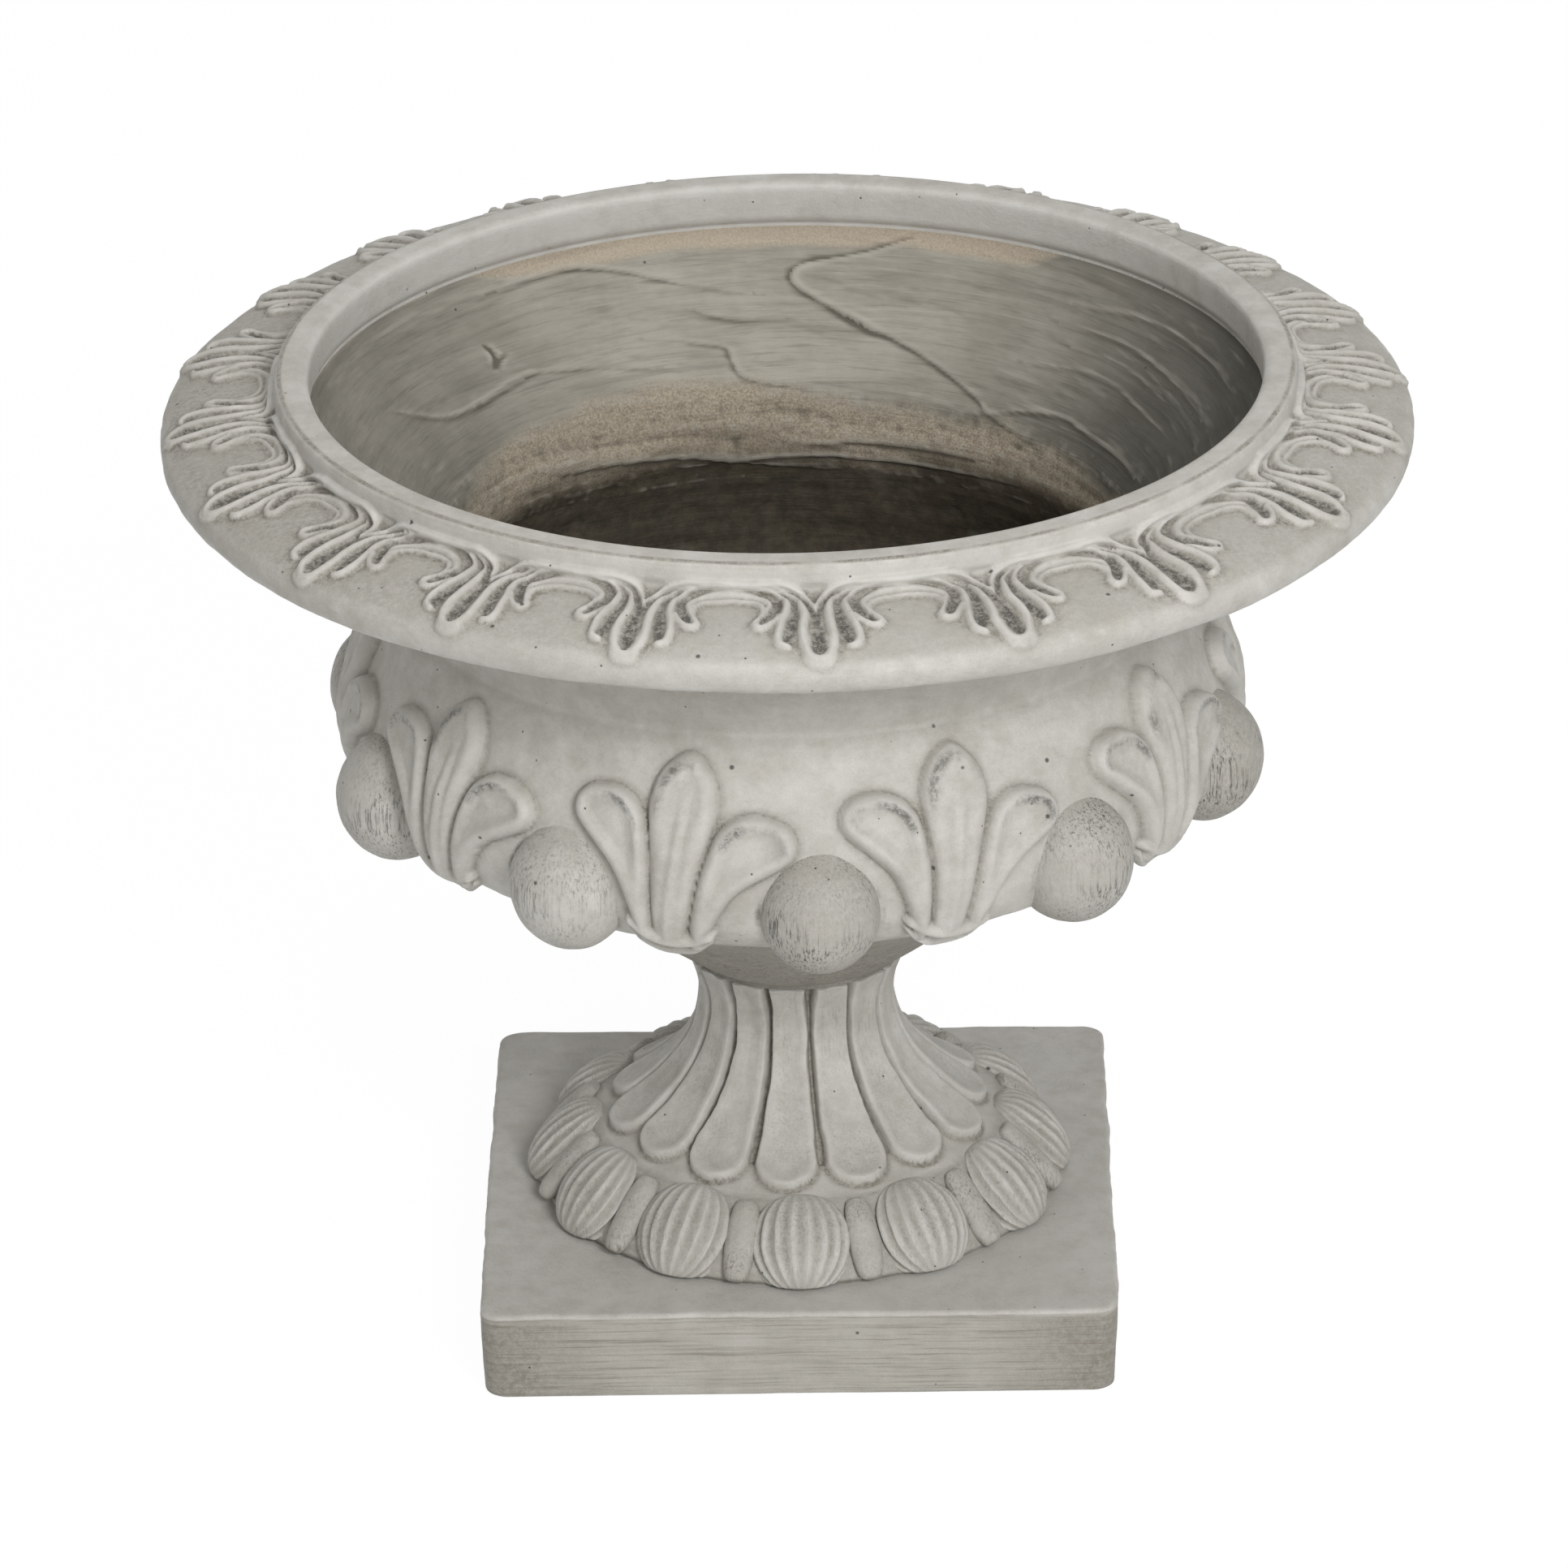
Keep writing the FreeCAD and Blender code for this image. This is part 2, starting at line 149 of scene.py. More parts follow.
def noise(p, size, seed=0):
    """Value noise from -1 to 1 at points p, with features about size across."""
    q = np.asarray(p, float) / size
    i = np.floor(q).astype(np.int64)
    f = q - i
    f = f * f * (3.0 - 2.0 * f)
    total = np.zeros(q.shape[:-1])
    for corner in range(8):
        o = np.array([corner & 1, corner >> 1 & 1, corner >> 2 & 1])
        c = i + o
        h = c[..., 0] * 73856093 ^ c[..., 1] * 19349663 ^ c[..., 2] * 83492791 ^ (seed + 1) * 40503
        h = ((h & 0xFFFFFFFF) ^ (h >> 15 & 0x1FFFF)) * 739982445 & 0xFFFFFFFF
        h = (h ^ h >> 13) * 1274126177 & 0xFFFFFFFF
        total += np.prod(np.where(o == 1, f, 1.0 - f), axis=-1) * ((h ^ h >> 16) & 0xFFFF)
    return total / 32767.5 - 1.0


def rough(p, size, seed=0, octaves=3):
    """Noise with finer and weaker noise on it."""
    return sum(noise(p, size / 2**k, seed + k) / 2**k for k in range(octaves))


def to_line(x, y, line):
    """Distance from each point to a line, with the line's other columns at the nearest place."""
    best = np.full(x.shape, 1e9)
    where = np.zeros(x.shape)
    for k in range(len(line) - 1):
        a, b = line[k], line[k + 1]
        ex, ey = b[0] - a[0], b[1] - a[1]
        t = np.clip(((x - a[0]) * ex + (y - a[1]) * ey) / (ex * ex + ey * ey + 1e-9), 0, 1)
        d = np.hypot(x - a[0] - t * ex, y - a[1] - t * ey)
        where = np.where(d < best, k + t, where)
        best = np.minimum(best, d)
    rest = [np.interp(where, np.arange(len(line)), line[:, c]) for c in range(2, line.shape[1])]
    return (best, *rest)


def inside(x, y, outline):
    odd = np.zeros(x.shape, bool)
    for a, b in zip(outline, np.roll(outline, -1, axis=0)):
        if a[1] != b[1]:
            crossing = (b[0] - a[0]) * (y - a[1]) / (b[1] - a[1]) + a[0]
            odd ^= ((a[1] > y) != (b[1] > y)) & (x < crossing)
    return odd


def deep_in(x, y, outline):
    """How far each point lies inside a closed outline; 0 outside."""
    closed = np.vstack([outline, outline[:1]])
    return np.where(inside(x, y, outline), to_line(x, y, closed)[0], 0.0)


def blur(h, rows, cols):
    """Box blur of a height map that closes round its columns."""
    c = np.mean([np.roll(h, k, 1) for k in range(-cols, cols + 1)], axis=0)
    p = np.pad(c, ((rows, rows), (0, 0)), mode="edge")
    return np.mean([p[k : k + len(h)] for k in range(2 * rows + 1)], axis=0)


def hollow(h, rows, cols, deep, least=-1):
    """1 where a height map lies deep below its surroundings, and negative on its ridges."""
    return np.clip((blur(h, rows, cols) - h) / deep, least, 1)


def columns(n):
    return np.arange(n) * 360.0 / n


def round_about(r, z, az):
    a = np.radians(az)
    return np.stack([r * np.sin(a), -r * np.cos(a), z + 0 * a], -1)


def normals(line, soften=0):
    """Outward normals of a profile that runs down the outside, or up the inside."""
    d = np.gradient(line, axis=0)
    for _ in range(soften):
        p = np.pad(d, ((1, 1), (0, 0)), mode="edge")
        d = (p[:-2] + p[1:-1] + p[2:]) / 3
    n = np.stack([-d[:, 1], d[:, 0]], 1)
    return n / np.linalg.norm(n, axis=1)[:, None]


def turned(line, az):
    """A profile of radius and height, turned round the axis."""
    return round_about(line[:, :1], line[:, 1:], az[None, :])


def raised(line, lift, az, soften):
    """A turned profile whose points are lifted along its normals."""
    out = normals(line, soften)
    return round_about(line[:, :1] + lift * out[:, :1], line[:, 1:] + lift * out[:, 1:], az[None, :])


def swollen(xyz, amount, radius):
    """Points moved out from the axis, by the full amount at the given radius."""
    return xyz + amount[..., None] * xyz * (1, 1, 0) / radius


def fade_in(rows, over):
    """A column that grows from 0 to 1 over the first rows."""
    return ramp(0, over, np.arange(rows))[:, None]


def fade_out(rows, over):
    return fade_in(rows, over)[::-1]


def placed(points, radius, height, degrees):
    """Points about a place out from the axis: x across, y outward, z up."""
    c, s = math.cos(math.radians(degrees)), math.sin(math.radians(degrees))
    right, out, up = np.array([(c, s, 0), (s, -c, 0), (0, 0, 1)])
    x, y, z = np.split(points, 3, -1)
    return x * right + (y + radius) * out + (z + height) * up


def added(name, data):
    ob = bpy.data.objects.new(name, data)
    bpy.context.scene.collection.objects.link(ob)
    return ob


class Shell:
    """Collects grids of points, joined ring to ring, into one closed mesh."""

    def __init__(self, *names):
        self.names = names
        self.points, self.faces, self.kinds, self.values = [], [], [], []
        self.count = 0
        self.last = None
        self.first = None

    def add(self, xyz, values):
        n = xyz.shape[0] * xyz.shape[1]
        ids = np.arange(self.count, self.count + n).reshape(xyz.shape[:2])
        self.count += n
        self.points.append(xyz.reshape(-1, 3))
        spread = [np.broadcast_to(values.get(k, 0.0), xyz.shape[:2]).ravel() for k in self.names]
        self.values.append(np.stack(spread, 1))
        return ids

    def quads(self, ids, kind):
        right = np.roll(ids, -1, 1)
        q = np.stack([ids[:-1], ids[1:], right[1:], right[:-1]], -1).reshape(-1, 4)
        self.faces.append(q)
        self.kinds.append(np.full(len(q), kind))

    def rings(self, xyz, kind=0, **values):
        """Adds rows of rings and joins the first to the ring before it."""
        ids = self.add(xyz, values)
        self.quads(ids, kind)
        if self.last is None:
            self.first = ids[0]
        else:
            self.stitch(self.last, ids[0], kind)
        self.last = ids[-1]

    def close(self):
        self.stitch(self.last, self.first, 0)

    def stitch(self, a, b, kind):
        """Joins two rings, by triangles where their counts differ."""
        n, m = len(a), len(b)
        if n == m:
            self.quads(np.stack([a, b]), kind)
            return
        i = j = 0
        out = []
        while i < n or j < m:
            if j == m or (i < n and (i + 1) / n <= (j + 1) / m):
                out.append((a[i % n], b[j % m], a[(i + 1) % n], a[i % n]))
                i += 1
            else:
                out.append((a[i % n], b[j % m], b[(j + 1) % m], a[i % n]))
                j += 1
        self.faces.append(np.array(out))
        self.kinds.append(np.full(len(out), kind))

    def ball(self, xyz, **values):
        """A closed island: rows of rings whose first and last rows are single points."""
        ids = self.add(xyz, values)
        ids[0], ids[-1] = ids[0, 0], ids[-1, 0]
        self.quads(ids, 0)

    def build(self, name, materials, slot, *nodes):
        co = np.concatenate(self.points) * MM
        q = np.concatenate(self.faces)
        kinds = np.concatenate(self.kinds)
        corner = np.concatenate([np.ones((len(q), 1), bool), q[:, 1:] != q[:, :-1]], 1)
        corner[:, 3] &= q[:, 3] != q[:, 0]
        corner[:, 2] &= q[:, 2] != q[:, 0]
        used = np.unique(q[corner])
        new = np.zeros(len(co), np.int64)
        new[used] = np.arange(len(used))
        sizes = corner.sum(1)
        me = bpy.data.meshes.new(name)
        me.vertices.add(len(used))
        me.vertices.foreach_set("co", co[used].astype(np.float32).ravel())
        me.loops.add(int(sizes.sum()))
        me.loops.foreach_set("vertex_index", new[q[corner]].astype(np.int32))
        me.polygons.add(len(q))
        me.polygons.foreach_set("loop_start", np.r_[0, np.cumsum(sizes)[:-1]].astype(np.int32))
        me.polygons.foreach_set("material_index", kinds.astype(np.int32))
        for k, values in zip(self.names, np.concatenate(self.values)[used].T):
            attribute = me.attributes.new(k, "FLOAT", "POINT")
            attribute.data.foreach_set("value", np.ascontiguousarray(values, np.float32))
        me.update(calc_edges=True)
        me.validate()
        me.shade_smooth()
        for m in materials:
            me.materials.append(m)
        ob = added(name, me)
        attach(ob, "root")
        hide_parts(*nodes)


# Materials


class Nodes:
    """Short words for building a shader."""

    def __init__(self, name):
        self.material = bpy.data.materials.new(name)
        self.material.use_nodes = True
        self.tree = self.material.node_tree
        self.shader = self.tree.nodes["Principled BSDF"]
        self.place = self.new("ShaderNodeTexCoord").outputs["Object"]

    def new(self, kind, **settings):
        node = self.tree.nodes.new(kind)
        for k, v in settings.items():
            setattr(node, k, v)
        return node

    def put(self, socket, value):
        if isinstance(value, bpy.types.NodeSocket):
            self.tree.links.new(value, socket)
        else:
            socket.default_value = value

    def fill(self, node, **values):
        for k, v in values.items():
            self.put(node.inputs[k], v)

    def math(self, how, a, b=0.0):
        node = self.new("ShaderNodeMath", operation=how)
        self.put(node.inputs[0], a)
        self.put(node.inputs[1], b)
        return node.outputs[0]

    def times(self, a, b):
        return self.math("MULTIPLY", a, b)

    def span(self, value, low, high, to_low=0.0, to_high=1.0):
        node = self.new("ShaderNodeMapRange")
        for k, v in enumerate((value, low, high, to_low, to_high)):
            self.put(node.inputs[k], v)
        return node.outputs[0]

    def stretch(self, x, y, z):
        node = self.new("ShaderNodeMapping")
        self.fill(node, Vector=self.place, Scale=(x, y, z))
        return node.outputs[0]

    def noise(self, scale, detail=3.0, roughness=0.55, place=None, distortion=0.0):
        node = self.new("ShaderNodeTexNoise")
        self.fill(node, Vector=place or self.place, Scale=scale)
        self.fill(node, Detail=detail, Roughness=roughness, Distortion=distortion)
        return node.outputs[0]

    def value(self, name):
        return self.new("ShaderNodeAttribute", attribute_name=name).outputs["Fac"]

    def mix(self, share, a, b, how="MIX"):
        node = self.new("ShaderNodeMix", data_type="RGBA", blend_type=how, clamp_factor=True)
        self.put(node.inputs[0], share)
        self.put(node.inputs[6], a)
        self.put(node.inputs[7], b)
        return node.outputs[2]

    def pinholes(self, scale, size, share):
        """Small round holes in a share of the cells of a grid."""
        cells = self.new("ShaderNodeTexVoronoi")
        self.fill(cells, Vector=self.place, Scale=scale)
        pick = self.new("ShaderNodeSeparateColor")
        self.put(pick.inputs[0], cells.outputs["Color"])
        hole = self.span(cells.outputs["Distance"], size * 0.55, size, 1.0, 0.0)
        return self.times(hole, self.math("LESS_THAN", pick.outputs[0], share))

    def finish(self, colour, height, roughness=0.9, distance=0.0007, strength=0.6):
        self.put(self.shader.inputs["Base Color"], colour)
        self.put(self.shader.inputs["Roughness"], roughness)
        self.shader.inputs["Specular IOR Level"].default_value = 0.42
        relief = self.new("ShaderNodeBump")
        self.fill(relief, Strength=strength, Distance=distance, Height=height)
        self.put(self.shader.inputs["Normal"], relief.outputs[0])
        return self.material


LIGHT_STONE = (0.635, 0.622, 0.592, 1)
STONE = (0.505, 0.49, 0.452, 1)
DULL_STONE = (0.39, 0.372, 0.328, 1)
WASH_AND_SHADE = (0.185, 0.168, 0.132, 1)
GOUGE = (0.085, 0.08, 0.07, 1)
SOOT = (0.06, 0.056, 0.048, 1)


def side_streaks(n, colour):
    along = n.noise(1.0, 6.0, 0.75, n.stretch(16.0, 16.0, 760.0))
    facing = n.new("ShaderNodeSeparateXYZ")
    n.put(facing.inputs[0], n.new("ShaderNodeNewGeometry").outputs["True Normal"])
    upright = n.span(n.math("ABSOLUTE", facing.outputs[2]), 0.5, 0.25)
    colour = n.mix(n.times(upright, 0.5), colour, DULL_STONE)
    colour = n.mix(n.times(n.span(along, 0.5, 0.64, 0.0, 0.6), upright), colour, WASH_AND_SHADE)
    return n.mix(n.times(n.span(along, 0.44, 0.32, 0.0, 0.3), upright), colour, LIGHT_STONE)


def cast_stone(name, streaked=False):
    """Pale cast stone with dark wash and painted shade in its hollows, worn ridges, brush strokes and
    pinholes; the same darkening and wear masks also paint shade and light on some faces.
    """
    n = Nodes(name)
    cav = n.value("cav")
    blotch = n.noise(11.0, 5.0, 0.6)
    mottle = n.noise(60.0, 6.0, 0.7)
    grain = n.noise(1500.0, 3.0, 0.7)
    rubbed = n.noise(1.0, 6.0, 0.75, n.stretch(160.0, 160.0, 420.0), 0.4)
    colour = n.mix(n.span(blotch, 0.34, 0.6, 0.45, 1.0), DULL_STONE, STONE)
    colour = n.mix(n.span(mottle, 0.36, 0.68, 0.08, 0.92), colour, LIGHT_STONE)
    colour = n.mix(n.span(rubbed, 0.54, 0.72, 0.0, 0.34), colour, DULL_STONE)
    colour = n.mix(n.span(rubbed, 0.46, 0.3, 0.0, 0.4), colour, LIGHT_STONE)
    colour = n.mix(n.span(grain, 0.25, 0.48, 0.25, 0.0), colour, WASH_AND_SHADE)
    if streaked:
        colour = side_streaks(n, colour)
    # Lighter where the value is negative: worn ridges, and painted light on the plinth's top, the rim's
    # bulge and the lip's inner face
    worn = n.times(n.span(cav, -0.08, -0.7), n.span(mottle, 0.3, 0.6, 0.35, 0.9))
    colour = n.mix(worn, colour, LIGHT_STONE)
    speck = n.span(n.noise(360.0, 5.0, 0.9), 0.45, 0.56)
    # Darker where the value is positive: dark wash and dirt, and painted shade in hollows, under the belly,
    # on the balls' undersides and on the rim's sides and lower edge
    darkening = n.times(n.span(cav, 0.06, 0.75), n.span(mottle, 0.3, 0.62, 0.45, 1.0))
    darkening = n.times(darkening, n.span(speck, 0.0, 1.0, 0.55, 1.0))
    colour = n.mix(darkening, colour, WASH_AND_SHADE)
    gouged = n.times(n.value("gouged"), n.span(speck, 0.0, 1.0, 0.22, 1.0))
    colour = n.mix(gouged, colour, GOUGE)
    strokes = n.noise(1.0, 6.0, 0.75, n.stretch(950.0, 950.0, 42.0))
    patch = n.span(n.noise(34.0, 3.0), 0.4, 0.58, 0.22, 1.0)
    # Soot-coloured strokes: brush marks, and painted shade under the belly
    stroke = n.times(n.span(strokes, 0.5, 0.62), n.times(n.value("brush"), patch))
    colour = n.mix(stroke, colour, SOOT)
    many = n.span(n.noise(9.0, 2.0), 0.42, 0.62, 0.05, 0.2)
    hole = n.math("MAXIMUM", n.pinholes(190.0, 0.11, many), n.pinholes(85.0, 0.1, 0.1))
    colour = n.mix(n.times(hole, 0.9), colour, SOOT)
    height = n.math("SUBTRACT", n.times(grain, 0.5), n.times(hole, 1.2))
    height = n.math("ADD", height, n.times(n.noise(330.0, 4.0), 0.7))
    height = n.math("ADD", height, n.times(rubbed, 0.8))
    height = n.math("SUBTRACT", height, n.times(gouged, 0.8))
    return n.finish(colour, height, n.span(mottle, 0.25, 0.75, 0.66, 0.44))


def trowelled(name):
    """The unpainted inside: trowel smears, a sandy band, damp sides darkened further with painted shade, and
    dark earth below that is partly painted shade.
    """
    n = Nodes(name)
    cav = n.value("cav")
    sandy = n.value("sandy")
    damp_and_shade = n.value("brush")
    blotch = n.noise(24.0, 5.0, 0.65)
    grain = n.noise(900.0, 4.0, 0.75)
    smear = n.noise(1.0, 6.0, 0.7, n.stretch(14.0, 14.0, 330.0), 0.5)
    scratch = n.noise(1.0, 4.0, 0.7, n.stretch(45.0, 45.0, 1400.0), 0.2)
    clods = n.noise(160.0, 6.0, 0.75)
    colour = n.mix(n.span(blotch, 0.32, 0.66), (0.315, 0.298, 0.252, 1), (0.42, 0.397, 0.345, 1))
    colour = n.mix(n.span(smear, 0.5, 0.7, 0.0, 0.6), colour, (0.21, 0.2, 0.17, 1))
    colour = n.mix(n.span(smear, 0.46, 0.3, 0.0, 0.5), colour, (0.48, 0.455, 0.4, 1))
    colour = n.mix(n.span(scratch, 0.54, 0.68, 0.0, 0.4), colour, (0.17, 0.16, 0.135, 1))
    # Darker grey where the wall is damp; the darkening is partly painted shade, strongest on the wall on the
    # right
    shaded_damp_tone = n.mix(1.0, colour, (0.2, 0.205, 0.2, 1), "MULTIPLY")
    colour = n.mix(n.times(damp_and_shade, 0.98), colour, shaded_damp_tone)
    sand = n.mix(n.span(grain, 0.36, 0.62), (0.25, 0.214, 0.16, 1), (0.49, 0.425, 0.335, 1))
    colour = n.mix(n.times(sandy, n.span(blotch, 0.2, 0.5, 0.6, 1.0)), colour, sand)
    colour = n.mix(n.span(damp_and_shade, -0.1, -1.0, 0.0, 0.5), colour, (0.6, 0.51, 0.41, 1))
    # Dark earth low in the bowl, deepened as painted shade
    earth_and_shade = n.mix(n.span(clods, 0.38, 0.64), (0.026, 0.019, 0.009, 1), (0.088, 0.07, 0.042, 1))
    colour = n.mix(n.times(n.value("deep"), 0.95), colour, earth_and_shade)
    colour = n.mix(n.span(cav, 0.1, 0.8, 0.0, 0.8), colour, (0.09, 0.08, 0.06, 1))
    colour = n.mix(n.span(cav, -0.1, -0.8, 0.0, 0.55), colour, (0.5, 0.475, 0.42, 1))
    hole = n.pinholes(110.0, 0.09, 0.05)
    colour = n.mix(n.times(hole, 0.8), colour, SOOT)
    height = n.math("ADD", n.times(smear, 1.6), n.times(grain, n.span(sandy, 0, 1, 0.4, 1.6)))
    height = n.math("ADD", height, n.times(scratch, 0.5))
    return n.finish(colour, n.math("SUBTRACT", height, hole), 0.85, 0.0008)


def speckled(name, light, dark, scale, metallic=0.0):
    """Two tones in blotches with dark grain."""
    n = Nodes(name)
    colour = n.mix(n.span(n.noise(scale, 4.0), 0.3, 0.7), dark, light)
    grain = n.noise(1100.0, 3.0)
    n.shader.inputs["Metallic"].default_value = metallic
    return n.finish(n.mix(n.span(grain, 0.3, 0.6, 0.3, 0.0), colour, SOOT), grain)


STONE_MATERIAL = cast_stone("aged_cast_stone")
PLINTH_MATERIAL = cast_stone("brushed_cast_stone", streaked=True)
INSIDE_MATERIAL = trowelled("trowelled_inside")
MORTAR = speckled("bedding_mortar", (0.40, 0.385, 0.345, 1), (0.22, 0.21, 0.185, 1), 60.0)
PLASTIC = speckled("sleeve_plastic", (0.055, 0.055, 0.052, 1), (0.03, 0.03, 0.029, 1), 40.0)
STEEL = speckled("dowel_steel", (0.46, 0.45, 0.44, 1), (0.28, 0.26, 0.24, 1), 90.0, metallic=1.0)

# Numbers of the bowl's two materials
OUTSIDE, INSIDE = 0, 1

# Rim: scrolled arches, each between two V-shaped darts

DART_AT = [-136, -120.2, -101.8, -83.7, -66.5, -49.2, -31.75, -14.85, 2.5, 20.7, 38.5]
DART_AT += [60.3, 77.8, 94.2, 110, 125.5, 140, 156.8, 173.6, 190.4, 207.2]
UNIT_HALF = 8.28
TONGUE_WAY = 55.4

# Half of one arch: angle from its middle, way down from the lip's edge, half width, relief
HOOK_EDGE = [(0, 17.8, 0.9, 2), (1.43, 18.5, 0.9, 2), (2.53, 20.5, 0.9, 2), (3.3, 25, 0.8, 2)]
HOOK_EDGE += [(3.3, 30, 0.8, 1.9), (2.9, 35, 0.9, 1.8)]
HOOK = [(0, 13.6, 3.2, 2.5), (1.48, 14.2, 3, 2.5), (2.93, 17.4, 2.1, 2.5), (3.85, 23.2, 1.2, 2.5)]
HOOK += [(3.75, 28.5, 1, 2.4), (3.2, 33, 1.1, 2.4), (2.7, 37, 1.4, 2.4), (3, 39.7, 1.5, 2.4)]
HOOK += [(3.65, 39.4, 1.3, 2.4), (4.3, 36.2, 1.1, 2.5), (4.85, 32, 1, 2.5)]
LEG = [(0, 9.6, 0.8, 2.6), (2.58, 9.8, 1, 2.6), (4.28, 12.4, 1.2, 2.7), (5.4, 20.4, 1.5, 2.8)]
LEG += [(5.45, 28, 1.6, 2.8), (5.15, 34.5, 1.5, 2.8), (4.9, 40.5, 1.4, 2.8), (4.8, 45.5, 1.4, 2.7)]
LEG += [(5, 49.8, 1.4, 2.6), (5.6, 51.4, 1.2, 2.4)]
DART_EDGE = [(0, 9, 0.7, 2.6), (3.43, 9, 0.9, 2.6), (5.73, 13.2, 1.2, 2.7), (6.85, 22.5, 1.4, 2.8)]
DART_EDGE += [(7.15, 31, 1.7, 2.8), (7.05, 38.8, 1.7, 2.8), (6.95, 45.5, 1.7, 2.8), (7.1, 51.5, 1.7, 2.7)]
DART_EDGE += [(7.55, 56.2, 1.6, 2.6), (8.28, 58, 1.5, 2.5)]
DART_RIB = [(0, 7.8, 0.7, 2.4), (2.18, 7.8, 0.8, 2.5), (5.13, 8.8, 1, 2.6), (7.08, 13.3, 1.1, 2.6)]
DART_RIB += [(8.03, 24, 1, 2.4), (8.25, 29.5, 0.7, 2)]
STRANDS = [HOOK_EDGE, HOOK, LEG, DART_EDGE, DART_RIB]

# Gouged channels between the strands: angle, way, half width
IN_HOOK = [(0, 11, 0.3), (2.13, 11.4, 0.8), (3.68, 13.2, 1.4), (4.6, 18.9, 1.9), (4.65, 24.8, 2)]
IN_HOOK += [(4.15, 30.2, 1.9), (3.65, 34.4, 1.8), (3.35, 36.8, 1)]
IN_LEG = [(1.28, 9.8, 0.3), (3.43, 10.1, 0.4), (5.13, 12.4, 0.5), (6.2, 19, 0.8), (6.35, 27.4, 1.2)]
IN_LEG += [(6.15, 34.4, 1.7), (5.95, 40.2, 2.1), (5.75, 45, 2.2), (5.65, 48, 1.7), (5.65, 49.4, 0.8)]
IN_DART = [(1.68, 8.8, 0.2), (4.73, 10.5, 0.7), (6.58, 15, 1.1), (7.73, 24.5, 1.1), (8.2, 31, 1.2)]
IN_DART += [(8.28, 36.5, 1.8), (8.28, 42.5, 2.6), (8.28, 48.5, 3.3), (8.28, 53, 2.7), (8.28, 55.4, 1)]
CHANNELS = [IN_HOOK, IN_LEG, IN_DART]

LIP_PITCH = 0.6
RIM_PITCH = 0.9
RIM_WAY = 7.0
LIP_LINE = [(LIP_MID_R, HEIGHT), (212.2, HEIGHT), (214.8, 423.3), (LIP_OUT_R, 421.2), (216.4, 417)]
RIM_LINE = [(216.4, 417), (217.1, 413.4), (218.7, 410.9), (221.8, 409.7), (230, 409.6), (243, 408)]
RIM_LINE += [(254, 405.2), (262.36, 401.36), (264.6, 398), (264.8, 393.6), (262.4, 389), (258, 386.4)]
RIM_LINE += [(254, 385.4)]


def carved(points, draw, wander, spread, way, radius):
    """One line of the scrolls in millimetres, a little off its drawn place."""
    a = np.array(points, float)
    a[1:-1, :2] += draw.uniform(-1, 1, (len(a) - 2, 2)) * wander
    a[:, -1] *= draw.uniform(*spread)
    line = through(a, 5)
    line[:, 0] *= np.radians(np.interp(line[:, 1], way, radius))
    return line


def half_arch(angle, way, radius, shift, draw):
    """Relief of half an arch and how far it is gouged."""
    scale = np.radians(radius)[:, None]
    across = angle[None, :] * scale
    down = np.broadcast_to(way[:, None], across.shape)
    stray = 0.35 * rough(np.stack([across, down, 0 * down], -1) + shift, 5.0, 45)
    relief = np.zeros(down.shape)
    cut = np.zeros(down.shape)
    for strand in STRANDS:
        line = carved(strand, draw, (0.07, 0.4), (0.9, 1.08), way, radius)
        d, wide, high = to_line(across, down, line)
        relief = np.maximum(relief, high * hump(d, wide + 0.5) ** 0.75)
    from_dart = (UNIT_HALF - angle)[None, :] * scale
    tongue = np.hypot(from_dart, np.clip(down - TONGUE_WAY, 0, None))
    relief = np.maximum(relief, 1.5 * ramp(7.4, 5.4, tongue + stray) * ramp(41, 48, down))
    for channel in CHANNELS:
        line = carved(channel, draw, (0.06, 0.4), (0.85, 1.15), way, radius)
        d, wide = to_line(across, down, line)
        cut = np.maximum(cut, ramp(1.25, 0.5, (d + stray) / np.maximum(wide, 0.3)) * ramp(0.2, 1.0, wide))
    spandrel = ramp(6.4, 7.6, angle)[None, :] * ramp(24, 19, down) * ramp(7.5, 10, down) * (relief < 0.4)
    return relief - cut * np.minimum(relief, 2.0) - 1.2 * spandrel, np.maximum(cut, spandrel)


def rim_relief(az, way, radius):
    """Height of the scrolls over the rim and how far they are gouged, for columns az and rows way."""
    edges = np.array(DART_AT + [DART_AT[0] + 360.0]) + OBJECT_TURN
    turn = (az - edges[0]) % 360.0 + edges[0]
    unit = np.searchsorted(edges, turn, side="right") - 1
    relief = np.zeros((len(way), len(az)))
    gouged = np.zeros(relief.shape)
    for k in range(len(DART_AT)):
        cols = np.nonzero(unit == k)[0]
        x = (turn[cols] - (edges[k] + edges[k + 1]) / 2) / (edges[k + 1] - edges[k]) * 2 * UNIT_HALF
        draw = np.random.RandomState(40 + k)
        for side in (-1, 1):
            near = x * side >= 0
            half = half_arch(np.abs(x[near]), way, radius, 90.0 * k + 40.0 * side, draw)
            relief[:, cols[near]], gouged[:, cols[near]] = half
    return relief, gouged


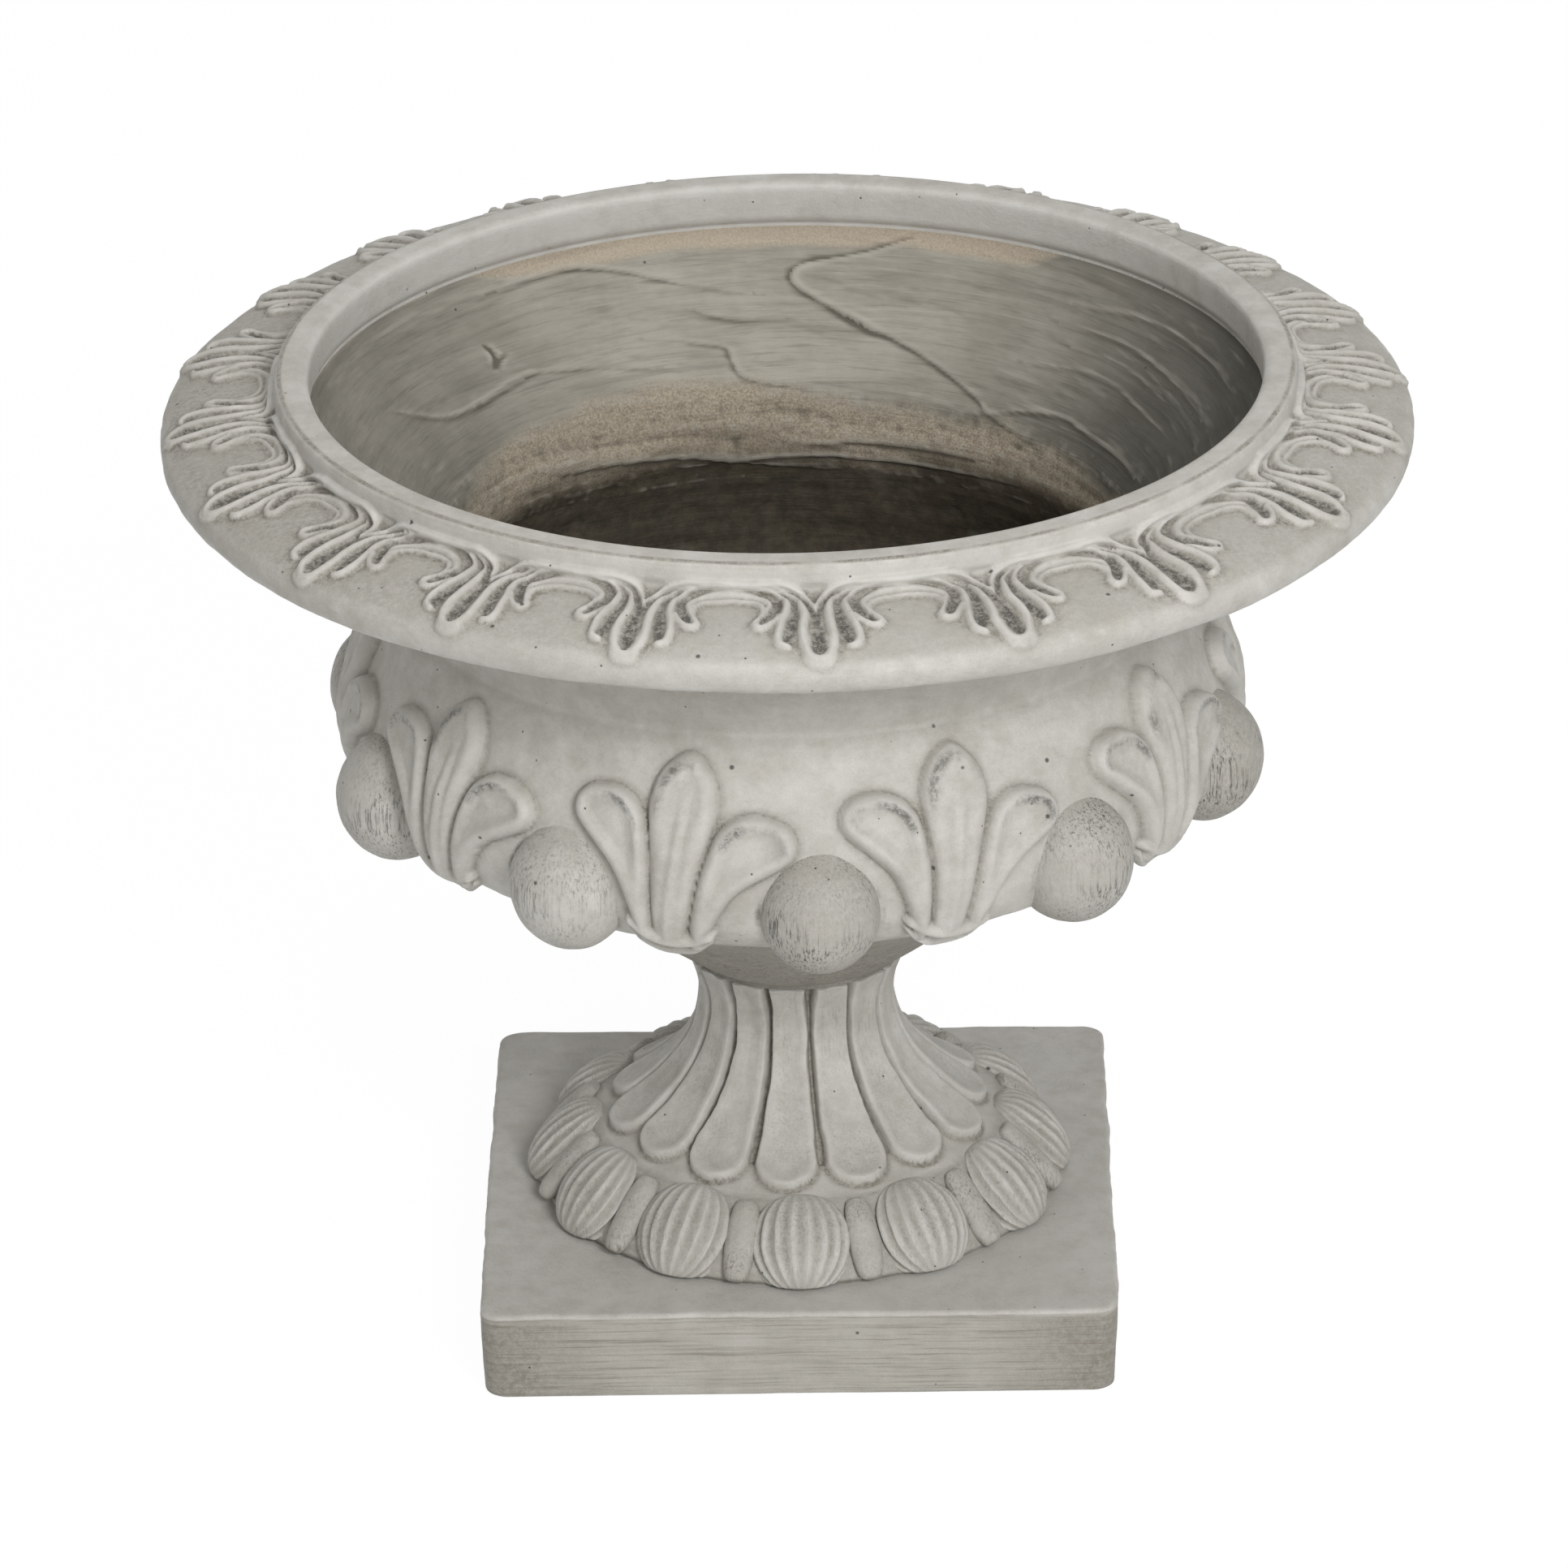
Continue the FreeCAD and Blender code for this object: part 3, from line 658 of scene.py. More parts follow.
def add_rim(bowl):
    """The lip's top and outer face, then the rim with its scrolls."""
    az = columns(RIM_COLUMNS)
    lip = even(through(LIP_LINE), LIP_PITCH)[:-1]
    xyz = turned(lip, az)
    arris = hump(lip[:, :1] - LIP_ARRIS_R, 1.1) * np.clip(0.9 + 0.8 * rough(xyz, 16.0, 5), 0.3, 1.4)
    top = 0.1 * ramp(LIP_ARRIS_R, LIP_ARRIS_R - 1, lip[:, :1])
    bowl.rings(xyz, cav=arris + top - 0.6 * ramp(422.5, 420.5, lip[:, 1:]))

    line = even(through(RIM_LINE), RIM_PITCH)
    way = RIM_WAY + way_along(line)
    down = way[:, None]
    scrolls, gouged = rim_relief(az, way, line[:, 0])
    base = turned(line, az)
    uneven = 0.5 * rough(base, 60.0, 3) + 0.18 * rough(base, 9.0, 7)
    field = ramp(10, 14, down)
    sideways = np.sin(np.radians(az))[None, :]
    cav = hollow(scrolls, 3, 3, 2.1)
    cav += 0.2 * hollow(scrolls, 7, 7, 1.4)
    cav += (0.27 + 0.35 * blur(gouged, 3, 3)) * field * ramp(76, 66, down)
    cav -= 0.5 * ramp(13, 10, down)
    # Painted shade: the sides of the rim are darker than its front; a painted shadow darkens its edge below,
    # and a painted highlight lightens the bulge
    cav += (0.2 - 0.1 * sideways) * np.abs(sideways) * field
    cav += 0.5 * ramp(73, 82, down)
    cav -= 0.32 * hump(down - 66, 9.0)
    xyz = raised(line, scrolls + uneven * ramp(12, 20, down), az, 3)
    bowl.rings(xyz, cav=cav, gouged=gouged * ramp(6, 34, down))


# Under the rim and the cove

COVE_LINE = [(250.5, 384.5), (226, 377.7), (202, 371), (190, 364.5), (179, 356), (171.6, 346)]
COVE_LINE += [(167.2, 335), (164.9, 326)]


def add_cove(bowl):
    base = turned(even(through(COVE_LINE), 2.4), columns(PLAIN_COLUMNS))
    bowl.rings(swollen(base, 0.4 * rough(base, 45.0, 12), 200.0), cav=0.13)


# Belly with its palmettes

BELLY_LINE = [(165.4, 323.8), (168.8, 320), (172.6, 313.6), (177, 304.8), (181.6, 294.6), (186.5, 278.8)]
BELLY_LINE += [(188, 264), (185.5, 250.5), (181.5, 243.3)]
BELLY_TURN = [(181.5, 243.3), (177.6, 238.9), (171, 235.6), (164, 232.2), (157, 228)]

# Outlines of the petals and cords of the collar: across, level, and for a cord half width and height
MIDDLE_PETAL = [(0, 318.7), (4, 317.4), (7.6, 314.6), (11.6, 310.2), (14.4, 303.8), (15.1, 295.8), (14, 288)]
MIDDLE_PETAL += [(11.6, 276.6), (9.8, 265.5), (8.7, 254.4), (7.6, 242.7), (6.6, 235)]
SIDE_PETAL = [(7.3, 236), (8.2, 253), (9.6, 266.5), (11.8, 278), (15, 288), (18.6, 293), (24, 297)]
SIDE_PETAL += [(31, 298.6), (37.5, 298), (43.7, 296), (47.8, 291.8), (48.9, 287.5), (47.6, 283)]
SIDE_PETAL += [(44.2, 279.5), (38.7, 275.7), (29.3, 269), (24, 263), (20, 255.5), (17.5, 249), (15, 242.8)]
SIDE_PETAL += [(13, 236)]
UPPER_CORD = [(0, 241.4, 3.5, 7.8), (9, 242.5, 3.2, 7.2), (17, 245.5, 2.4, 5.5)]
LOWER_CORD = [(0, 232.6, 2.2, 5.6), (11, 236, 1.9, 5), (17, 241, 1.4, 3.5)]
PALMETTE_LEAN = math.radians(6.3)
PALMETTE_MID = 287.0
PETAL_TIP = 320.5
PETAL_SHARE = 0.945

# Each ball was set one by one: degrees round, height, darkening
BALL_SET = [(0, -2.8, 0.08), (0.8, -0.8, 0), (0.4, 1.8, 0.16), (0.3, 0.6, 0.1), (-0.3, 0, 0), (0.2, 0.8, 0)]
BALL_SET += [(-0.2, 0.4, 0.1), (0.2, 0, 0), (0.2, -1, -0.1), (1.8, -1.3, -0.18)]
BALL_JOINT_R = 25.8
FRONT_SAG = 3.8


def front_sag(az):
    """How far the lower belly sags, most at the front."""
    return FRONT_SAG * np.clip(np.cos(np.radians(az)), 0, 1) ** 3


def mirrored(half):
    """A line that runs from its left end through its middle to its right end."""
    left = [(-x, *rest) for x, *rest in half[:0:-1]]
    return left + half


def palmette(x, z, draw):
    """Height and brushed edges of one palmette."""
    cos_lean, sin_lean = math.cos(PALMETTE_LEAN), math.sin(PALMETTE_LEAN)
    up = z - PALMETTE_MID
    x, z = x * cos_lean - up * sin_lean, PALMETTE_MID + up * cos_lean + x * sin_lean
    z = PETAL_TIP - (PETAL_TIP - z) / PETAL_SHARE
    half = through(MIDDLE_PETAL, 5)
    d = deep_in(x, z, np.vstack([half, (half * (-1, 1))[::-1]]))
    dish = 0.9 * ramp(4.5, 10.0, d) * ramp(280, 294, z)
    bend = x - 1.5 * draw.uniform(-1, 1) - 0.04 * (z - 270)
    fold = 0.5 * hump(bend, 1.8) - 0.55 * hump(np.abs(bend) - 3.2, 1.8)
    fold *= ramp(236, 250, z) * ramp(306, 286, z)
    high = np.maximum(0, (7.0 * dome(d, 7.5) - dish + fold * ramp(0, 3, d)) * (d > 0))
    dark = 0.9 * ramp(2.0, 3.6, d) * ramp(8, 5, d) * ramp(286, 300, z) * (x < 3)
    for side in (-1, 1):
        d = deep_in(x, z, through(np.array(SIDE_PETAL) * (draw.uniform(0.97, 1.03), 1) * (side, 1), 4))
        dish = 2.4 * ramp(3.4, 9.0, d) * ramp(258, 278, z)
        high = np.maximum(high, (6.9 * dome(d, 5.5) - dish) * (d > 0))
        dark = np.maximum(dark, ramp(3.0, 4.4, d) * ramp(8.0, 5.6, d) * ramp(280, 287, z))
    for cord in (UPPER_CORD, LOWER_CORD):
        d, wide, top = to_line(x, z, through(mirrored(cord), 6))
        high = np.maximum(high, top * hump(d, wide) ** 0.7)
    return high, dark


def belly_relief(az, level):
    """The same for all the palmettes, for columns az and rows level."""
    turn = (az - PALMETTE_AT + PALMETTE_STEP / 2) % 360.0
    unit = (turn // PALMETTE_STEP).astype(int)
    across = np.radians(turn % PALMETTE_STEP - PALMETTE_STEP / 2) * BELLY_R
    relief = np.zeros((len(level), len(az)))
    dark = np.zeros(relief.shape)
    for k in range(PALMETTES):
        cols = np.nonzero(unit == k)[0]
        draw = np.random.RandomState(70 + k)
        x = np.broadcast_to(across[cols] + draw.uniform(-0.8, 0.8), (len(level), len(cols)))
        z = np.broadcast_to(level[:, None] + draw.uniform(-0.8, 0.8), x.shape)
        relief[:, cols], dark[:, cols] = palmette(x, z, draw)
    return relief, dark


def ball_joints(az, level, base):
    """Broken dark lines on the belly round the balls."""
    half_step = PALMETTE_STEP / 2
    ball = np.floor((az - BALL_AT + half_step) / PALMETTE_STEP).astype(int) % PALMETTES
    aside, up, _ = np.array(BALL_SET)[ball].T
    across = np.radians((az - BALL_AT - aside + half_step) % PALMETTE_STEP - half_step) * BELLY_R
    from_ball = np.hypot(across[None, :], level - BALL_Z - up[None, :])
    return hump(from_ball - BALL_JOINT_R, 2.0) * np.clip(0.1 + 1.3 * rough(base, 16.0, 27), 0, 1)


def add_belly(bowl):
    az = columns(BELLY_COLUMNS)
    line = even(np.vstack([through(BELLY_LINE), through(BELLY_TURN)[1:]]), 1.0)
    level = line[:, 1:]
    petals, edge_dark = belly_relief(az, line[:, 1])
    base = turned(line, az)
    uneven = 0.6 * rough(base, 50.0, 21) + 0.2 * rough(base, 8.0, 25)
    xyz = raised(line, petals + uneven * fade_in(len(line), 8) * fade_out(len(line), 8), az, 6)
    xyz[..., 2] -= front_sag(az) * ramp(300, 250, level)
    joint = ball_joints(az, level, base)
    smudge = edge_dark * np.clip(0.5 + 1.2 * rough(base, 11.0, 29), 0, 1)
    gouged = np.clip(0.8 * smudge + 0.7 * joint, 0, 1)
    bowl.rings(xyz, cav=hollow(petals, 4, 4, 3.6) + 0.5 * joint, brush=0.25 * edge_dark, gouged=gouged)


# Underside of the belly down to the joint, then the hidden bed and the hole for the sleeve

UNDER_LINE = [(153, 225.4), (133, 213.2), (110, 198.2), (85, 180.6), (62, 162.6), (50, 153.6)]
UNDER_LINE += [(NECK_R, BOWL_Z)]
BED_LINE = [(36, BOWL_Z), (24, BOWL_Z), (SLEEVE_HOLE_R, BOWL_Z), (SLEEVE_HOLE_R, 162)]
BED_LINE += [(SLEEVE_HOLE_R, FLANGE_Z), (FLANGE_HOLE_R, FLANGE_Z), (FLANGE_HOLE_R, FLOOR_Z)]
BED_LINE += [(28, FLOOR_Z + 0.4)]


def add_underside(bowl):
    az = columns(UNDER_COLUMNS)
    line = even(through(UNDER_LINE), 3.0)
    base = turned(line, az)
    xyz = swollen(base, 0.7 * rough(base, 30.0, 31) * fade_out(len(line), 4), 100.0)
    xyz[..., 2] -= front_sag(az) * ramp(180, 225, line[:, 1:])
    # Painted shade under the belly: the dark tone and soot strokes darken the whole underside
    bowl.rings(xyz, brush=0.6, cav=0.72)
    bowl.rings(turned(np.array(BED_LINE), columns(HIDDEN_COLUMNS)), INSIDE, deep=1.0)


# Inside of the bowl

WELL = [(40, FLOOR_Z + 1), (64, 190), (100, 214), (139, 237), (158, 251), (164, 269), (160, 288)]
WELL += [(151.5, 306)]
SHOULDER = [(151.5, 306), (147, 318), (146.5, 328), (150, 343), (163, 361), (186, 382), (199, 396.5)]
SHOULDER += [(204.3, 404.2)]
LIP_INSIDE = [(204.3, 404.2), (201.9, 407.2), (LIP_IN_R, 411), (LIP_IN_R, 419.5), (202.4, 422.6)]
LIP_INSIDE += [(204.8, HEIGHT), (206.6, HEIGHT)]

# Edges left by the trowel: degrees round the bowl, level, height of the edge
TROWEL_EDGES = [
    [(135.8, 339.4, 0.4), (144.7, 345.4, 0.8), (147.9, 350.3, 1), (160.8, 363.5, 1.1), (170, 370.4, 1.2)],
    [(170, 370.4, 1.2), (177.9, 380.2, 1.4), (179.4, 385, 1.4), (177.4, 389, 1.3), (170, 393, 1.1)]
    + [(163, 400.5, 0.7)],
    [(185.2, 379.8, 0.3), (195, 385.4, 0.7), (202.3, 392.2, 1), (208.7, 396.3, 1.1), (213.5, 396.3, 1)]
    + [(220, 395.4, 0.6)],
    [(201.9, 359.1, 0.3), (215.1, 364.3, 0.8), (223.6, 366.8, 0.8), (233.6, 364.3, 0.5)],
    [(175.8, 346.3, 0.3), (186.6, 351.2, 0.9), (188.8, 357.1, 0.9), (189.7, 362.7, 0.9), (194.6, 365.5, 0.8)]
    + [(201.8, 368.8, 0.3)],
    [(223.9, 365.9, 0.5), (233.6, 364.3, 1), (242.3, 366.3, 1), (248.7, 373.7, 0.5)],
    [(180.8, 372.1, 0.4), (187.9, 372.1, 0.8), (192.4, 374.9, 0.4)],
    [(104.3, 349.8, 0.6), (123, 351.2, 1), (129.8, 352.7, 1), (138.1, 349.8, 1), (144.7, 345.4, 0.6)],
    [(100.8, 377.4, 0.5), (114.8, 379, 0.9), (127.9, 381.4, 0.9), (139.9, 380.6, 0.4)],
    [(98, 371.5, 0.4), (114, 373, 0.8), (126, 375.4, 0.8), (136, 375, 0.4)],
    [(102, 366, 0.4), (116, 367, 0.8), (128, 369.4, 0.8), (142, 366, 0.4)],
    [(102.1, 389.9, 0.5), (112.4, 391.3, 0.9), (124.7, 391.7, 0.9), (137.5, 388.1, 0.4)],
    [(175.9, 309.4, 0.8), (185.6, 313.9, 1.7), (197.1, 319.7, 1.7), (206.1, 322.1, 1.7), (221, 325.7, 0.8)],
    [(146, 325.1, 0.8), (160, 325.1, 1.5), (167.2, 325.1, 1.5), (177.2, 323.3, 0.6)],
    [(140, 317, 0.8), (160, 316, 1.6), (180, 318, 1.6), (196, 315, 0.8)],
]
# Cracks: degrees round, level, depth
CRACKS = [
    [(226.4, 379.5, 0.5), (225.8, 375.5, 1.5), (227.4, 372, 0.6)],
    [(224, 374.6, 0.4), (225.6, 373.6, 1.2), (226.8, 371.4, 0.5)],
]
# Top of the sandy band: degrees round, level
SAND_TOP = [(60, 330), (104, 338), (128, 340), (146.6, 342), (161.8, 343), (175.8, 347), (189, 352.7)]
SAND_TOP += [(202, 354.7), (217.6, 352.7), (238, 348), (256, 330), (300, 322)]
# Damp stains with painted shade on the wall: degrees round, share
DAMP_AND_SHADE = [(0, 0.3), (60, 0.7), (95, 1), (120, 0.86), (140, 0.4), (158, 0.08), (200, 0), (222, 0.22)]
DAMP_AND_SHADE += [(240, 0.46), (275, 0.55), (360, 0.3)]
PALE_STRIP_Z = 396.0
# Share of the dark earth tone in the well; it is partly painted shade
EARTH_AND_SHADE = 0.95

# The wall laid flat for the trowel's marks: its middle, its radius, and its slope length per height
WALL_MIDDLE = 180.0
WALL_R = 180.0
WALL_SLOPE = 1.4


def on_wall(degrees, level):
    return np.radians(degrees - WALL_MIDDLE) * WALL_R, level * WALL_SLOPE


def trowel_marks(az, level):
    """Height of the layers that end at the trowel's edges, less the cracks."""
    side, climb = np.broadcast_arrays(*on_wall(az[None, :], level))
    marks = np.zeros(side.shape)
    for edge in TROWEL_EDGES + CRACKS:
        a, z, high = np.array(edge, float).T
        line = through(np.column_stack([*on_wall(a, z), high]), 6)
        heading = np.gradient(line[:, :2], axis=0)
        nearest = to_line(side, climb, np.column_stack([line, heading, line[:, :2]]))
        d, high, along_x, along_y, near_x, near_y = nearest
        if edge in CRACKS:
            marks -= high * hump(d, 1.5)
        else:
            above = along_x * (climb - near_y) - along_y * (side - near_x)
            marks += high * np.where(above > 0, ramp(15.0, 1.0, d), ramp(1.6, 0.0, d))
    return marks


def add_well(bowl):
    line = even(through(WELL), 2.5)[:-1]
    base = turned(line, columns(PLAIN_COLUMNS))
    push = 1.3 * rough(base * (1, 1, 4), 45.0, 51, 4) + 0.5 * rough(base, 9.0, 57)
    push *= fade_in(len(line), 5)
    # The well takes the dark earth tone, partly painted shade
    bowl.rings(swollen(base, -push, 150.0), INSIDE, deep=EARTH_AND_SHADE, cav=0.3 * push)


def add_shoulder(bowl):
    az = columns(INSIDE_COLUMNS)
    line = even(through(SHOULDER), 1.25)[:-1]
    level = line[:, 1:]
    base = turned(line, az)
    flow = base * (1, 1, 7)
    flow[..., 2] += 0.6 * base[..., 0]
    push = 0.75 * rough(flow, 55.0, 61, 4) + 0.4 * rough(base, 6.0, 66, 2) * ramp(352, 340, level)
    push = (push + trowel_marks(az, level)) * fade_out(len(line), 6)
    sand_top = np.interp(az, *np.array(SAND_TOP).T)[None, :]
    ragged = 4 * noise(base, 30.0, 72) + 2 * noise(base, 8.0, 74)
    sandy = ramp(302, 312, level + 6 * noise(base, 40.0, 71)) * ramp(4, -7, level - sand_top + ragged)
    strip = PALE_STRIP_Z + 1.5 * noise(base, 25.0, 76) + 14.0 * ramp(150, 138, az) + 8.0 * ramp(212, 226, az)
    pale_strip = ramp(-1.5, 2.0, level - strip)
    # Damp, partly painted shade, most on the wall on the right
    damp_and_shade = np.interp(az, *np.array(DAMP_AND_SHADE).T)[None, :] * ramp(318, 345, level)
    # Below the shoulder the dark earth tone fades in; it is partly painted shade where the wall recedes
    bowl.rings(
        raised(line, push, az, 3),
        INSIDE,
        sandy=np.maximum(sandy, pale_strip),
        deep=EARTH_AND_SHADE * ramp(328, 307, level + 8 * noise(base, 35.0, 73) + 4 * noise(base, 9.0, 77)),
        brush=damp_and_shade - pale_strip,
        cav=hollow(push, 2, 3, 0.5),
    )
    lip = even(through(LIP_INSIDE), 1.2)
    # Painted light: the inner face of the lip is lightened below its top edge
    bowl.rings(turned(lip, az), OUTSIDE, cav=0.1 - ramp(423.8, 422.5, lip[:, 1:]))


# Balls between the palmettes

BALL_RINGS, BALL_SIDES = 40, 64


def add_balls(bowl):
    v = np.radians(np.linspace(0, 180, BALL_RINGS + 1))[:, None]
    u = np.radians(columns(BALL_SIDES))[None, :]
    unit = np.stack([np.sin(v) * np.cos(u), np.sin(v) * np.sin(u), np.cos(v) + 0 * u], -1)
    # Painted shade on the underside of each ball
    below = ramp(-0.2, -1.0, unit[:, ::-1, 2])
    for k, (aside, up, darkening) in enumerate(BALL_SET):
        draw = np.random.RandomState(90 + k)
        p = unit * BALL_R * (draw.uniform(0.96, 1.0), -1, draw.uniform(1.03, 1.09))
        p[..., 2] += 3.2 * ramp(0.55, 1.0, unit[..., 2]) * ramp(0.5, -0.4, -unit[..., 1])
        p += 0.35 * rough(p + 200 * k, 14.0, 95)[..., None] * unit * (1, -1, 1)
        p[..., 1] = np.maximum(p[..., 1], BALL_BACK)
        xyz = placed(p, BALL_OUT, BALL_Z + up, BALL_AT + k * PALMETTE_STEP + aside)
        bowl.ball(xyz[:, ::-1], brush=0.9 + darkening, cav=0.24 + darkening + 0.2 * below)


bowl = Shell("cav", "brush", "sandy", "deep", "gouged")
add_rim(bowl)
add_cove(bowl)
add_belly(bowl)
add_underside(bowl)
add_well(bowl)
add_shoulder(bowl)
bowl.close()
add_balls(bowl)
bowl.build("bowl_cast", [STONE_MATERIAL, INSIDE_MATERIAL], "cast_concrete", "bowl")

# Pedestal: tongues down the stem, then the foot ring

FLUTE_LINE = [(NECK_R, NECK_Z), (43.4, 138), (42.5, 128), (45, 115), (51, 103), (59.5, 93), (70, 84)]
FLUTE_LINE += [(80, 77.5), (88, 73.5)]
FOOT_LINE = [(89.5, 69.6), (96.5, 63), (105, 54.9), (110.5, 47.6), (113, FOOT_Z)]
CORE_LINE = [(100, FOOT_Z), (60, FOOT_Z), (SLEEVE_HOLE_R, FOOT_Z), (SLEEVE_HOLE_R, 95)]
CORE_LINE += [(SLEEVE_HOLE_R, NECK_Z), (30, NECK_Z)]


def add_stem(pedestal):
    az = columns(STEM_COLUMNS)
    line = even(through(FLUTE_LINE), 1.0)
    radius, level = line[:, :1], line[:, 1:]
    base = turned(line, az)
    pitch = 360.0 / FLUTES
    half_pitch = math.radians(pitch / 2)
    flute = np.radians((az - FLUTE_AT + pitch / 2) % pitch - pitch / 2)[None, :]
    number = np.floor((az - FLUTE_AT + pitch / 2) / pitch)[None, :]
    void = ramp(132, 146, level) * np.clip(0.3 + np.sin(number * 1.9 + 0.7), 0, 1)
    gap = 0.8 + 0.75 * rough(base, 14.0, 101) + 0.4 * ramp(105, 85, level) + 1.3 * void
    across, out = radius * np.sin(np.abs(flute)), radius * np.cos(flute)
    to_side = np.sin(half_pitch) * out - np.cos(half_pitch) * across - gap
    end_half = FLUTE_END_R * math.tan(half_pitch) - 1.4
    end_at = FLUTE_END_R + 1.2 * np.sin(number * 2.7)
    to_end = end_half - np.hypot(across, np.clip((out - end_at) * 1.2, 0, None))
    within = np.minimum(to_side, to_end)
    tongue = ramp(-0.3, 1.3, within) * FLUTE_DEEP - FLUTE_DEEP
    tongue += 0.25 * hump(within - 2.6, 2.4) - 0.8 * ramp(2.5, 9.0, within)
    tongue -= (1.3 + 3.0 * void) * ramp(0.2, -0.8, within) * (out < FLUTE_END_R)
    xyz = raised(line, tongue + 0.35 * rough(base, 22.0, 105) * fade_in(len(line), 4), az, 4)
    xyz[..., 2] = np.minimum(xyz[..., 2], NECK_Z)
    pedestal.rings(xyz, cav=hollow(tongue, 3, 4, 1.3, -0.3), brush=0.25 * ramp(2, 5, within))


def add_foot(pedestal):
    line = even(through(FOOT_LINE), 1.6)
    base = turned(line, columns(PLAIN_COLUMNS))
    lumps = 0.8 * rough(base, 12.0, 111) * fade_out(len(line), 3)
    pedestal.rings(swollen(base, lumps, 100.0), cav=0.45)
    pedestal.rings(turned(np.array(CORE_LINE), columns(HIDDEN_COLUMNS)))


# Bosses on the foot ring: ends as radius and height, sizes, degrees between ribs, and their tone
EGG = dict(top=(88.0, 73.0), low=(119.0, 41.5), wide=22.3, high=13.0, sunk=4.0, blunt=0.85)
EGG |= dict(ribs=20.0, brush=0.35, darkening=-0.55)
DART = dict(top=(92.0, 70.5), low=(117.0, 44.0), wide=7.0, high=4.6, sunk=0.6, blunt=0.45)
DART |= dict(ribs=0, brush=0.6, darkening=0.3)
BOSS_RINGS, BOSS_SIDES = 36, 144
RIB_DEEP = 0.105


def add_boss(pedestal, degrees, seed, top, low, wide, high, sunk, blunt, ribs, brush, darkening):
    """A rounded boss, ribbed from end to end where ribs isn't 0."""
    top, low = np.array(top), np.array(low)
    long_half = np.linalg.norm(low - top) / 2
    way = (low - top) / (2 * long_half)
    up = np.array([-way[1], way[0]])
    mid = (top + low) / 2 - up * sunk
    v = np.radians(np.linspace(0, 180, BOSS_RINGS + 1))[:, None]
    u = np.radians(columns(BOSS_SIDES))[None, :]
    groove = np.zeros((BOSS_RINGS + 1, BOSS_SIDES))
    if ribs:
        place = (np.degrees(u) / ribs) % 1.0 - 0.5
        groove = (1.0 - (place * 2.0) ** 2) * np.sin(v) ** 0.5
    r = np.sin(v) ** blunt * (1.0 - RIB_DEEP * groove)
    across, lift, along = wide * r * np.cos(u), high * r * np.sin(u), long_half * np.cos(v) + 0 * u
    out, level = (mid[k] + up[k] * lift - way[k] * along for k in (0, 1))
    p = np.stack([across, out, level], -1)
    p += 0.25 * rough(p + 50.0 * seed, 8.0, 121)[..., None]
    p[..., 2] = np.maximum(p[..., 2], FOOT_Z)
    pedestal.ball(placed(p, 0.0, 0.0, degrees), cav=1.1 * groove + darkening, brush=brush)


def add_bosses(pedestal):
    for k in range(EGGS):
        draw = np.random.RandomState(130 + k)
        at = EGG_AT + k * EGG_STEP + draw.uniform(-0.5, 0.5)
        add_boss(pedestal, at, k, **EGG)
        add_boss(pedestal, at + EGG_STEP / 2, k + 20, **DART)


pedestal = Shell("cav", "brush", "gouged")
add_stem(pedestal)
add_foot(pedestal)
pedestal.close()
add_bosses(pedestal)
pedestal.build("pedestal_cast", [STONE_MATERIAL], "cast_concrete", "pedestal")

# Plinth: rounded square rings from the sleeve hole over the top and sides to the underside

PLINTH_HOLE = [(SLEEVE_HOLE_R, 2), (SLEEVE_HOLE_R, 20), (SLEEVE_HOLE_R, PLINTH_H), (40, PLINTH_H)]
PLINTH_SOLE = [(100, 0), (40, 0), (SLEEVE_HOLE_R, 0)]
DARK_ROW = 26.0


def square_ring(half, corner, n):
    """Points round a rounded square, starting at the middle of the front."""
    side = half - corner
    quarter = math.pi / 2 * corner
    s = np.arange(n) * (8 * side + 4 * quarter) / n
    xy = np.zeros((n, 2))
    for k in range(5):
        a = math.radians(90 * k)
        right, fore = np.array([math.cos(a), math.sin(a)]), np.array([math.sin(a), -math.cos(a)])
        t = s - (k * (2 * side + quarter) - side)
        straight = (t >= 0) & (t <= 2 * side)
        xy[straight] = np.outer(t[straight] - side, right) + fore * half
        bend = (t > 2 * side) & (t < 2 * side + quarter)
        b = (t[bend] - 2 * side) / corner
        round_part = np.outer(np.sin(b), right) + np.outer(np.cos(b), fore)
        xy[bend] = right * side + fore * side + corner * round_part
    return xy


def plinth_row(inset, z):
    ring = square_ring(PLINTH_HALF - inset, PLINTH_CORNER, PLINTH_COLUMNS)
    return np.column_stack([ring, np.full(PLINTH_COLUMNS, z)])


def plinth_rows():
    """The top from near its middle, the upper edge, the sides and the lower edge."""
    rows = []
    for inset in np.arange(60.0, 3.0, -2.5):
        rows.append(plinth_row(inset, PLINTH_H))
    for a in np.radians(np.linspace(0, 90, 8)):
        drop = PLINTH_TOP_ROUND * (1 - math.cos(a))
        rows.append(plinth_row(PLINTH_TOP_ROUND * (1 - math.sin(a)), PLINTH_H - drop))
    for z in np.arange(PLINTH_H - 4.0, 1.5, -1.5):
        rows.append(plinth_row(PLINTH_DRAFT * (1 - z / PLINTH_H), z))
    for a in np.radians(np.linspace(0, 90, 4)):
        inset = PLINTH_DRAFT + PLINTH_FOOT_ROUND * (1 - math.cos(a))
        rows.append(plinth_row(inset, PLINTH_FOOT_ROUND * (1 - math.sin(a))))
    return np.array(rows)


